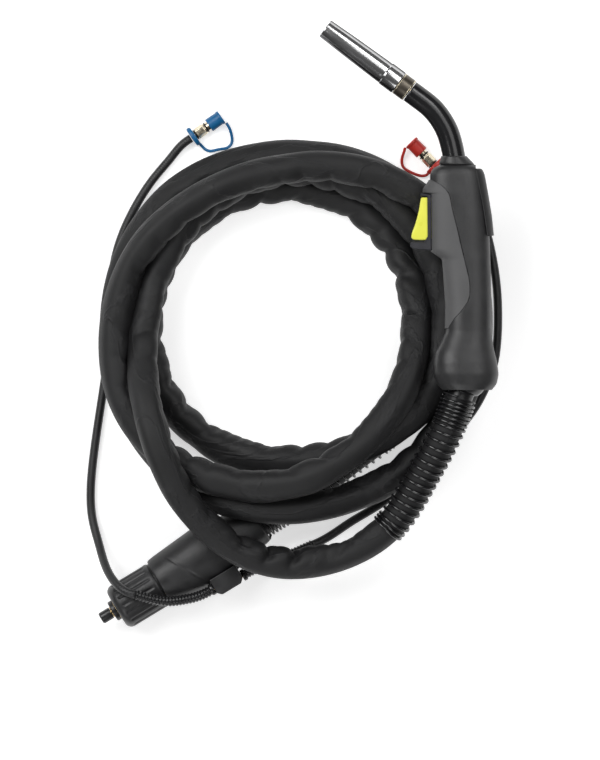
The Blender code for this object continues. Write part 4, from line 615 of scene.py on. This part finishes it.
back_places = crowded(HOUSING_FRONT, HOUSING_BACK, 110)
wide, thick_half = (eased(back_places, HOUSING[:, 0], HOUSING[:, k])[:, None] for k in (1, 2))
for half_name, first_angle in (("upper", 0), ("lower", math.pi)):
    half_turn = crowded(first_angle + 0.006, first_angle + math.pi - 0.006, 70)[None]
    edge = np.minimum(half_turn - first_angle, first_angle + math.pi - half_turn) * 26.0
    roll = rolled(edge, 0.7, 0.7) + rolled((back_places - HOUSING_FRONT)[:, None], 1, 0.8)
    roll = roll + rolled((HOUSING_BACK - back_places)[:, None], 1.6, 1.4)
    if half_name == "upper":
        # The crease is a straight line in the plan, from (-19, -20.3) to (-42.4, 24.2).
        crease_way = unit(np.array((-23.4, 44.5)))
        aside = (wide - roll) * np.cos(half_turn)
        from_start = together(19 - back_places[:, None], aside + 20.3)
        beside = np.abs(from_start @ np.array((crease_way[1], -crease_way[0])))
        down_line = from_start @ crease_way
        fade = np.clip(down_line / 3, 0, 1) * np.clip((50.3 - down_line) / 3, 0, 1)
        roll = roll + 0.7 * np.exp(-(beside / 0.7) ** 2) * fade
    shell = together(-back_places[:, None], (wide - roll) * np.cos(half_turn), (thick_half - roll) * np.sin(half_turn))
    lid_radius = np.linspace(18.2, 14.4, 6)[:, None]
    rear_lid = together(-HOUSING_BACK, lid_radius * np.cos(half_turn), lid_radius * np.sin(half_turn))
    half_shell = skin(f"housing_{half_name}", stood(np.vstack([shell, rear_lid]), ADAPTOR, ADAPTOR_TURN), ring=False,
                      inside=from_adaptor(-60, 0, 0))
    walls = half_shell.modifiers.new("wall", "SOLIDIFY")
    walls.thickness, walls.offset = 0.0022, -1
    wear(half_shell, "root", "black_plastic", housing_finish, f"adaptor_housing_{half_name}")

spigot = lathed("housing_spigot", softened([(-117, 0.01), (-117, 14.3), (-134.2, 14.3), (-134.2, 0.01)]), ADAPTOR,
                ADAPTOR_TURN)
wear(spigot, "root", "black_plastic", housing_finish)

block_outline = ((-74.6, 23), (-44.6, 23), (-44.6, 38), (-48.6, 42), (-70.6, 42), (-74.6, 38))
block_corners = np.array([(x, y, z) for z in (-8, 21.5) for x, y in block_outline], float)
block_mesh = bpy.data.meshes.new("block")
block_mesh.from_pydata((stood(block_corners, ADAPTOR, ADAPTOR_TURN) / 1000).tolist(), [],
                       [tuple(range(5, -1, -1)), tuple(range(6, 12)),
                        *((i, (i + 1) % 6, (i + 1) % 6 + 6, i + 6) for i in range(6))])
water_block = placed("block", block_mesh)
block_edges = water_block.modifiers.new("edges", "BEVEL")
block_edges.width, block_edges.segments, block_edges.harden_normals = 0.0011, 4, True
block_mesh.shade_smooth()
wear(water_block, "root", "black_plastic", housing_finish, "water_block")


# ------------------------ union nut, plug and pin cap
# The nut turns freely on the plug and has sixteen lengthwise grooves for the hand. A black cap covers
# the pins, with a thin brass sealing ring behind it.
NUT_RADIUS, GROOVES, NUT_SIDES = 23.8, 16, 288
nut_finish = finish_of("nut_plastic", (0.017, 0.017, 0.018), 0.4, tint=0.3, patch=14, grain=0.6, relief=0.3)
nut_profile = softened([(1, 14.8), (1, 23), (3, NUT_RADIUS), (43, NUT_RADIUS), (46, 23), (48.8, 20.8),
                        (50, 18.3), (50, 10.8), (44, 10.8), (44, 17), (5, 17), (5, 14.8)], 1.2)
dense = []
for start, end in zip(nut_profile, nut_profile[1:]):
    parts = max(1, int(np.linalg.norm(end - start) / 1.5))
    dense.append(start + (end - start) * np.linspace(0, 1, parts, endpoint=False)[:, None])
nut_profile = np.concatenate(dense)
nut_grid = turned(nut_profile, NUT_SIDES)
step = math.tau / GROOVES
from_groove = (np.mod(circle(NUT_SIDES) + step / 2, step) - step / 2) * NUT_RADIUS
groove = np.exp(-(from_groove / 1.5) ** 2)[None]
grooved = np.clip((nut_profile[:, 0] - 5.5) / 1.5, 0, 1) * np.clip((43 - nut_profile[:, 0]) / 1.5, 0, 1)
grooved = grooved * (nut_profile[:, 1] > 20)
nut_grid[..., 1:] *= 1 - (groove * grooved[:, None] / NUT_RADIUS)[..., None]
nut = skin("nut", stood(nut_grid, ADAPTOR, ADAPTOR_TURN), loop=True)
wear(nut, "union_nut", "black_plastic", nut_finish, "union_nut")

cap_black = finish_of("cap_plastic", (0.014, 0.014, 0.015), 0.34, patch=10, grain=0.4, relief=0.1)
pin_cap_profile = softened([(65.5, 0.01), (65.5, 3.3), (56.5, 3.3), (56.5, 5.6), (56.9, 6), (67.3, 6), (68.5, 4.8),
                            (68.5, 0.01)], 0.5)
wear(lathed("plug_pin_cap", pin_cap_profile, ADAPTOR, ADAPTOR_TURN), "pin_cap", "dark_plastic", cap_black, "pin_cap")
face_profile = softened([(50.4, 9.6), (50.4, 10.7), (54.2, 10.7), (55, 9.8), (55, 5.9), (50.4, 5.9)])
wear(lathed("plug_face", face_profile, ADAPTOR, ADAPTOR_TURN, loop=True), "root", "dark_plastic", cap_black)
seam_profile = softened([(-0.2, 14.6), (-0.2, 22.6), (0.9, 22.6), (0.9, 14.6)], 0.3)
wear(lathed("seam_ring", seam_profile, ADAPTOR, ADAPTOR_TURN, loop=True), "root", "dark_plastic", seal_finish)
brass_finish = finish_of("turned_brass", (0.78, 0.58, 0.3), 0.22, 1, tint=0.1, patch=6, grain=0.25, relief=0.05)
sealing = lathed("plug_seal", bead(55.5, 4.6, 0.7, 1.2, 16), ADAPTOR, ADAPTOR_TURN, loop=True)
wear(sealing, "root", "brass", brass_finish, "seal_ring")


# ------------------------ ball joint
# A plastic ball on the hose end turns in a cup inside the rear of the handle.
BALL_RADIUS, CUP_RADIUS, CUP_OUTSIDE = 21, 22, 24.2
ball_finish = finish_of("ball_plastic", (0.012, 0.012, 0.013), 0.3, patch=15, grain=0.4, relief=0.06)
arc = np.radians(np.linspace(14, 128, 40))
stem_profile = softened([(13.6, 15.9), (14.5, 13), (20.2, 13), (20.2, 17), (21.8, 17), (21.8, 14.3),
                         (33.7, 14.3), (33.7, 8.5), (4, 8.5), (-12, 12)], 0.6)
ball_profile = np.vstack([together(-BALL_RADIUS * np.cos(arc), BALL_RADIUS * np.sin(arc)), stem_profile[1:]])
ball = lathed("hose_ball", ball_profile, BALL, math.radians(-110), loop=True)
wear(ball, "root", "dark_plastic", ball_finish, "swivel_ball")
rims = []
for radius, first, last in ((CUP_OUTSIDE, 15, 0.5), (CUP_RADIUS, 0.5, 15)):
    arc = np.arcsin(np.linspace(first, last, 24) / radius)
    rims.append(together(radius * np.sin(arc), radius * np.cos(arc)))
cup = lathed("joint_cup", np.vstack(rims), BALL, math.radians(90), loop=True)
wear(cup, "ball_cup", "dark_plastic", ball_finish, "ball_cup")


# ------------------------ handle
# Two black half shells with a soft grey panel let into each side, a raised strap along the back and a
# collar round the neck. The section is a rounded rectangle whose sides follow the stations below.
handle_finish = finish_of("handle_plastic", (0.029, 0.029, 0.03), 0.42, tint=0.22, patch=22, grain=0.6, relief=0.35)
panel_finish = finish_of("soft_panel", (0.098, 0.098, 0.1), 0.58, tint=0.1, patch=30, relief=0.3)
WALL, SEAM = 1.4, 0.004
BEZEL_REAR, BEZEL_FRONT = 127, 183.3
PANEL_INSET, PANEL_NOSE, STRAP_INSET, STRAP_RISE = -0.7, 6.6, -0.5, 4.0
# Each station has its height along the handle, its underside, its back and its half thickness. The
# points of the two edge lines have a height and a place between underside and back.
HANDLE = np.array((
    (-12, -24, 25, 24.6), (-6, -29.5, 30, 26.4), (4, -33.2, 32, 27.5), (16, -33.4, 30.3, 26.6),
    (26, -31.4, 27.8, 24.5), (35, -26.5, 26, 22.6), (46, -21.3, 25.2, 21), (72, -20.6, 25, 20),
    (106, -23, 24, 18.8), (119, -24, 23.6, 18.6), (122.5, -30.5, 23.5, 18.6), (127, -36.3, 23.4, 18.6),
    (162, -36.5, 21.8, 18.5), (184, -36.7, 19.4, 17.9), (203, -36.4, 17, 16.4), (209, -34, 14.5, 14.8),
    (212.5, -26, 8.5, 11.5)))
PANEL_EDGE = np.array(((49, -19), (53, -17), (59, -13), (64, -8), (70, -3), (76, 1), (82, 3), (92, 3), (100, 2),
                       (116, -2), (133, -6), (150, -10), (165, -14), (178, -16.5), (183, -18), (187.5, -21),
                       (192, -26), (197.5, -36.5)))
STRAP_EDGE = np.array(((141.5, 20.6), (150, 19.5), (164, 17.5), (178, 15), (190, 12.5), (200, 10.5), (209, 9)))


def side_of(height, inset=0, rise=0):
    """Middle, reach and half thickness of the handle's section at each height. inset draws it in all
    round; rise lifts its back, by all of itself at the rear and by nothing near the collar."""
    under, back, half = (eased(height, HANDLE[:, 0], HANDLE[:, k], 1.6) for k in (1, 2, 3))
    back = back + rise * np.clip((212 - height) / 70, 0, 1)
    return (under + back) / 2, (back - under) / 2 - inset, half - inset


def patch(heights, from_angle, to_angle, count, mirror, seams, inset=0, nose=0, rise=0):
    """Part of the handle's surface between two angles at each height. Angle 0 is the back, a quarter
    turn the top, half a turn the underside. seams has a 1 for the first angle, the last angle, the first
    height and the last height where the surface rolls inwards on a quarter circle. nose moves the front
    end of a panel past the underside, growing with the square of the share of the way to it."""
    share = crowded(0, 1, count)[None]
    from_angle, to_angle = (np.zeros(len(heights)) + angle for angle in (from_angle, to_angle))
    angle = from_angle[:, None] + (to_angle - from_angle)[:, None] * share
    wide = np.abs(to_angle - from_angle)[:, None] * 24.0
    edges = (share * wide, (1 - share) * wide, (heights - heights[0])[:, None], (heights[-1] - heights)[:, None])
    gap = np.full(angle.shape, 9)
    for edge, wanted in zip(edges, seams):
        gap = np.minimum(gap, edge) if wanted else gap
    roll = rolled(gap, 0.5, 0.5)
    middle, reach, half = (value[:, None] for value in side_of(heights, inset, rise))
    x = middle + (reach - roll) * squarer(np.cos(angle), 0.8)
    x = x - nose * np.interp(heights, (183.6, 184.4, 188.5, 198), (0, 1, 1, 0))[:, None] * share ** 2
    z = (half - roll) * squarer(np.sin(angle), 0.8)
    return together(x, heights[:, None], -z if mirror else z) + BALL


def angle_at(heights, line, inset=0, rise=0):
    """The section's angle at which its surface meets an edge line at each height."""
    middle, reach, _ = side_of(heights, inset, rise)
    q = np.clip((np.interp(heights, *line.T) - middle) / reach, -1, 1)
    return np.arccos(squarer(q, 1.25))


def angle_beside(heights, z, inset=0):
    """The angle near the underside at which the surface stands z above the seam."""
    _, _, half = side_of(heights, inset)
    return math.pi - np.arcsin(np.clip(z / half, 0, 1) ** 1.25)


def thickened(piece, wall):
    """Offset the surface inwards by the wall, close its rim, and keep edges over 40 degrees sharp."""
    modifier = piece.modifiers.new("wall", "SOLIDIFY")
    modifier.thickness, modifier.offset = wall / 1000, -1
    whole = bpy.data.meshes.new_from_object(piece.evaluated_get(bpy.context.evaluated_depsgraph_get()))
    piece.modifiers.clear()
    piece.data = whole
    whole.set_sharp_from_angle(angle=math.radians(40))


handle_middle = BALL + np.array((-5, 100, 0))
for half_name, mirror in (("upper", False), ("lower", True)):
    rear, low, high, front = (crowded(*span) for span in ((-12, 48.8, 60), (48.8, 141.3, 90), (141.3, 197.7, 60),
                                                          (197.7, 212.5, 24)))
    shell_patches = [patch(rows, start, end, 60, mirror, seams) for rows, start, end, seams in (
        (rear, SEAM, math.pi - SEAM, (1, 1, 1, 0)),
        (low, SEAM, angle_at(low, PANEL_EDGE) - SEAM, (1, 1, 0, 0)),
        (high, angle_at(high, STRAP_EDGE), angle_at(high, PANEL_EDGE) - SEAM, (0, 1, 0, 0)),
        (front, angle_at(front, STRAP_EDGE), math.pi - SEAM, (0, 1, 0, 1)))]
    shell = skin(f"shell_{half_name}", shell_patches, ring=False, inside=handle_middle)
    thickened(shell, WALL)
    wear(shell, "handle", "black_plastic", handle_finish, f"handle_shell_{half_name}")

    # Beside the trigger's bezel the panel stops short of the underside.
    panel_patches = []
    for first, last, count, seams in ((49.2, BEZEL_REAR, 90, (1, 1, 1, 0)), (BEZEL_REAR, BEZEL_FRONT, 60, (1, 1, 0, 0)),
                                      (BEZEL_FRONT, 197.4, 30, (1, 1, 0, 0))):
        rows = crowded(first, last, count)
        start = angle_at(rows, PANEL_EDGE, PANEL_INSET) + SEAM
        end = angle_beside(rows, 9, PANEL_INSET) if first == BEZEL_REAR else math.pi - SEAM
        panel_patches.append(patch(rows, start, np.maximum(end, start + 0.002), 50, mirror, seams, PANEL_INSET,
                                   PANEL_NOSE))
    panel = skin(f"panel_{half_name}", panel_patches, ring=False, inside=handle_middle)
    thickened(panel, WALL)
    wear(panel, "handle", "grey_soft_plastic", panel_finish, f"grip_panel_{half_name}")

rows = crowded(141.8, 208.6, 90)
strap_patches = [patch(rows, 0, angle_at(rows, STRAP_EDGE, STRAP_INSET, STRAP_RISE), 40, mirror, (0, 1, 1, 1),
                       STRAP_INSET, 0, STRAP_RISE) for mirror in (False, True)]
strap_patches[1] = strap_patches[1][:, ::-1]
strap = skin("handle_strap", strap_patches, ring=False, inside=handle_middle)
thickened(strap, WALL)
# The strap is darker than the shells: painted shade for the back edge, which faces away from the lamps.
strap_painted_shade_finish = finish_of("strap_plastic_painted_shade", (0.017, 0.017, 0.018), 0.5, patch=20, grain=0.6, relief=0.3)
wear(strap, "handle", "black_plastic", strap_painted_shade_finish, "back_strap")

# The collar is an oval ring that tapers to the neck; its hole follows the neck's own line. Each row has
# its height, middle, half width and half thickness.
collar_turn = circle(72)[None]
collar_rows = np.array(((212.6, -9.7, 17, 14.3), (213, -9.8, 17.3, 14.5), (214.4, -10.4, 16.8, 14.3),
                        (216.4, -11.1, 15.7, 14), (218.4, -11.8, 14.4, 13.7), (219.8, -12.3, 13.5, 13.4),
                        (221, -12.6, 12.9, 12.9), (221, -12.6, 11.8, 11.8), (213, -11.5, 11.8, 11.8)))
y, middle, across, through = collar_rows.T[..., None]
collar_grid = together(middle + across * np.cos(collar_turn), y, through * np.sin(collar_turn))
collar = skin("collar", collar_grid + BALL, loop=True)
wear(collar, "handle", "black_plastic", handle_finish, "neck_collar")


# ------------------------ trigger
# A yellow lever on a pin, framed by a black bezel that is open towards the fingers.
trigger_finish = finish_of("yellow_lever", (0.93, 0.93, 0.11), 0.34, tint=0.03, patch=15, relief=0.06)
bezel_finish = finish_of("bezel_plastic", (0.03, 0.03, 0.036), 0.34, tint=0.1, patch=12, grain=0.4)
LEVER_HALF = 7
LEVER = ((-39.6, 180), (-45.2, 179.8), (-46, 177), (-47.2, 169), (-49, 161), (-51.2, 153.5), (-54.8, 143.5),
         (-55.2, 140), (-53, 137.6), (-43, 137.2), (-36, 138.2), (-33.6, 140), (-33.6, 168), (-31, 172), (-29.6, 177),
         (-31, 180.4))
lever_outline = np.array(LEVER)
for _ in range(2):
    following = np.roll(lever_outline, -1, axis=0)
    lever_outline = np.stack([0.85 * lever_outline + 0.15 * following, 0.15 * lever_outline + 0.85 * following],
                             axis=1).reshape(-1, 2)
# Rows of the same outline, drawn in near both faces on a quarter circle of 1 mm.
lever_middle = lever_outline.mean(axis=0)
quarter = np.radians(np.linspace(0, 90, 6))
near_face = 1 - np.cos(quarter) - LEVER_HALF
heights = np.concatenate([near_face, -near_face[::-1]])[:, None]
drawn_in = np.concatenate([1 - np.sin(quarter), 1 - np.sin(quarter[::-1])])[:, None, None]
lever_rows = lever_outline - unit(lever_outline - lever_middle) * drawn_in
lever_grid = together(lever_rows[..., 0], lever_rows[..., 1], heights)
lever = skin("lever", lever_grid + BALL)
wear(lever, "trigger", "yellow_plastic", trigger_finish, "trigger")


# ------------------------ swan neck, insulator and gas nozzle
# A copper tube in a glossy black sleeve, a dark bronze ring with a bright edge, and the chromed nozzle,
# which tapers and has a step where it is pushed on.
NECK_LINE = ((-56.5, 285.7), (-46.9, 278.6), (-35, 269), (-26, 258), (-19, 245), (-15, 232), (-12.6, 220), (-11, 208),
             (-9.8, 197), (-9, 188))
neck_path = spline([(x, y, 0) for x, y in NECK_LINE], spacing=1.5) + BALL
sleeve_finish = finish_of("neck_sleeve", (0.011, 0.011, 0.012), 0.2, patch=40, wander=0.04, grain=2.5, relief=0.05)
sleeve = skin("neck_sleeve", tube_grid(neck_path, 11.3, 64))
wear(sleeve, "handle", "dark_plastic", sleeve_finish, "swan_neck_sleeve")

NOZZLE_TURN = math.radians(143.4)
NECK_FRONT = BALL + np.array((-56.5, 285.7, 0))
bronze_finish = finish_of("dark_bronze_ring", (0.12, 0.105, 0.085), 0.36, 0.9, tint=0.1, patch=9, wander=0.01,
                          grain=0.3, relief=0.02)
insulator_profile = softened([(0.6, 6.4), (0.6, 11.4), (1.2, 11.8), (13, 11.8), (13.6, 11.4), (13.6, 9.1),
                              (22.9, 9.1), (22.9, 6.4)], 0.3)
insulator = lathed("bronze_ring", insulator_profile, NECK_FRONT, NOZZLE_TURN, 96, loop=True)
wear(insulator, "handle", "dark_bronze", bronze_finish, "nozzle_insulator")
edge_profiles = [bead(place, 11.65, 0.45, 0.45) for place in (1.5, 12.7)]
wear(lathed("bronze_edges", edge_profiles, NECK_FRONT, NOZZLE_TURN, 96, loop=True), "handle", "brass", plated_finish)

chrome_finish = finish_of("polished_chrome", (0.86, 0.86, 0.87), 0.17, 1, tint=0.1, patch=12, wander=0.01,
                          grain=0.4, relief=0.02)
# Painted reflection on the chrome: its grey goes by the share of the way round, a bright band that is
# a painted highlight between darker bands that are painted reflection of dark surroundings, broken
# up by a noise that is drawn out along the nozzle. Each stop has its share and its grey.
reflection_stops = ((0, 0.5), (0.04, 0.3), (0.13, 0.42), (0.2, 0.6), (0.25, 0.95), (0.37, 0.95), (0.42, 0.3), (0.47, 0.16),
         (0.55, 0.42), (0.75, 0.5), (1, 0.5))
tree = chrome_finish.node_tree
shader = tree.nodes["Principled BSDF"]
shader.inputs["Specular Tint"].default_value = (0.2, 0.2, 0.2, 1)
mapped = added(tree, "UVMap", uv_map="surface")
stretched = added(tree, "Mapping", {"Vector": mapped, "Scale": (30, 60, 1)})
mottle = added(tree, "TexNoise", {"Vector": stretched, "Scale": 1.6, "Detail": 3})
shift = added(tree, "Math", {0: mottle, 1: 0.05, 2: -0.025}, operation="MULTIPLY_ADD")
round_share = added(tree, "SeparateXYZ", {"Vector": mapped})
shifted = added(tree, "Math", {0: round_share, 1: shift}, operation="ADD")
painted_reflection = added(tree, "ValToRGB", {"Fac": shifted})
painted_reflection.color_ramp.interpolation = "B_SPLINE"
for share, _ in reflection_stops[1:-1]:
    painted_reflection.color_ramp.elements.new(share)
for element, (_, grey) in zip(painted_reflection.color_ramp.elements, reflection_stops):
    element.color = (grey, grey, grey, 1)
# The painted highlight and painted reflection bands multiply the chrome's own colour.
chrome_with_painted_reflection = added(tree, "Mix", {"Factor": 1, "A": tree.nodes["Color Ramp"], "B": painted_reflection}, data_type="RGBA",
               blend_type="MULTIPLY")
tree.links.new(chrome_with_painted_reflection.outputs["Result"], shader.inputs["Base Color"])
back, front = 13.9, 105.2
nozzle_profile = softened([(front, 8.4), (back + 26, 9), (back + 12, 9.7), (back, 9.7), (back, 11.9),
                           (back + 0.6, 12.2), (back + 15.4, 12.2), (back + 16.4, 11.5), (back + 20, 11.6),
                           (back + 60, 10.9), (front - 0.6, 9.9), (front, 9.4)], 0.35)
nozzle = lathed("nozzle", nozzle_profile, NECK_FRONT, NOZZLE_TURN, 96, loop=True)
wear(nozzle, "gas_nozzle", "bright_chrome", chrome_finish, "gas_nozzle")


# ------------------------ pieces that keep their CAD shape
# Small turned and moulded parts, most of them inside the torch, with the finish of what they are made of.
copper_finish = finish_of("turned_copper", (0.8, 0.38, 0.22), 0.25, 1, tint=0.12, patch=5, grain=0.25, relief=0.05)
zinc_finish = finish_of("zinc_plate", (0.55, 0.55, 0.57), 0.3, 1, tint=0.12, patch=5, grain=0.25, relief=0.05)
kept = ((brass_finish, ("plug_body", "inlet_tube", "blue_barb", "red_barb", "neck_block", "tip_holder")),
        (copper_finish, ("contact_tip", "swan_neck_tube")),
        (zinc_finish, ("handle_screw_1", "handle_screw_2", "handle_screw_3", "housing_screw_1", "housing_screw_2",
                       "trigger_pin", "trigger_spring")),
        (bronze_finish, ("gas_diffuser",)),
        (bezel_finish, ("trigger_bezel", "switch_plunger", "microswitch")),
        (smooth_finish, ("torch_cable",)))
for finish, names in kept:
    for name in names:
        worn = frame["nodes"][name].data.materials
        worn.clear()
        worn.append(finish)
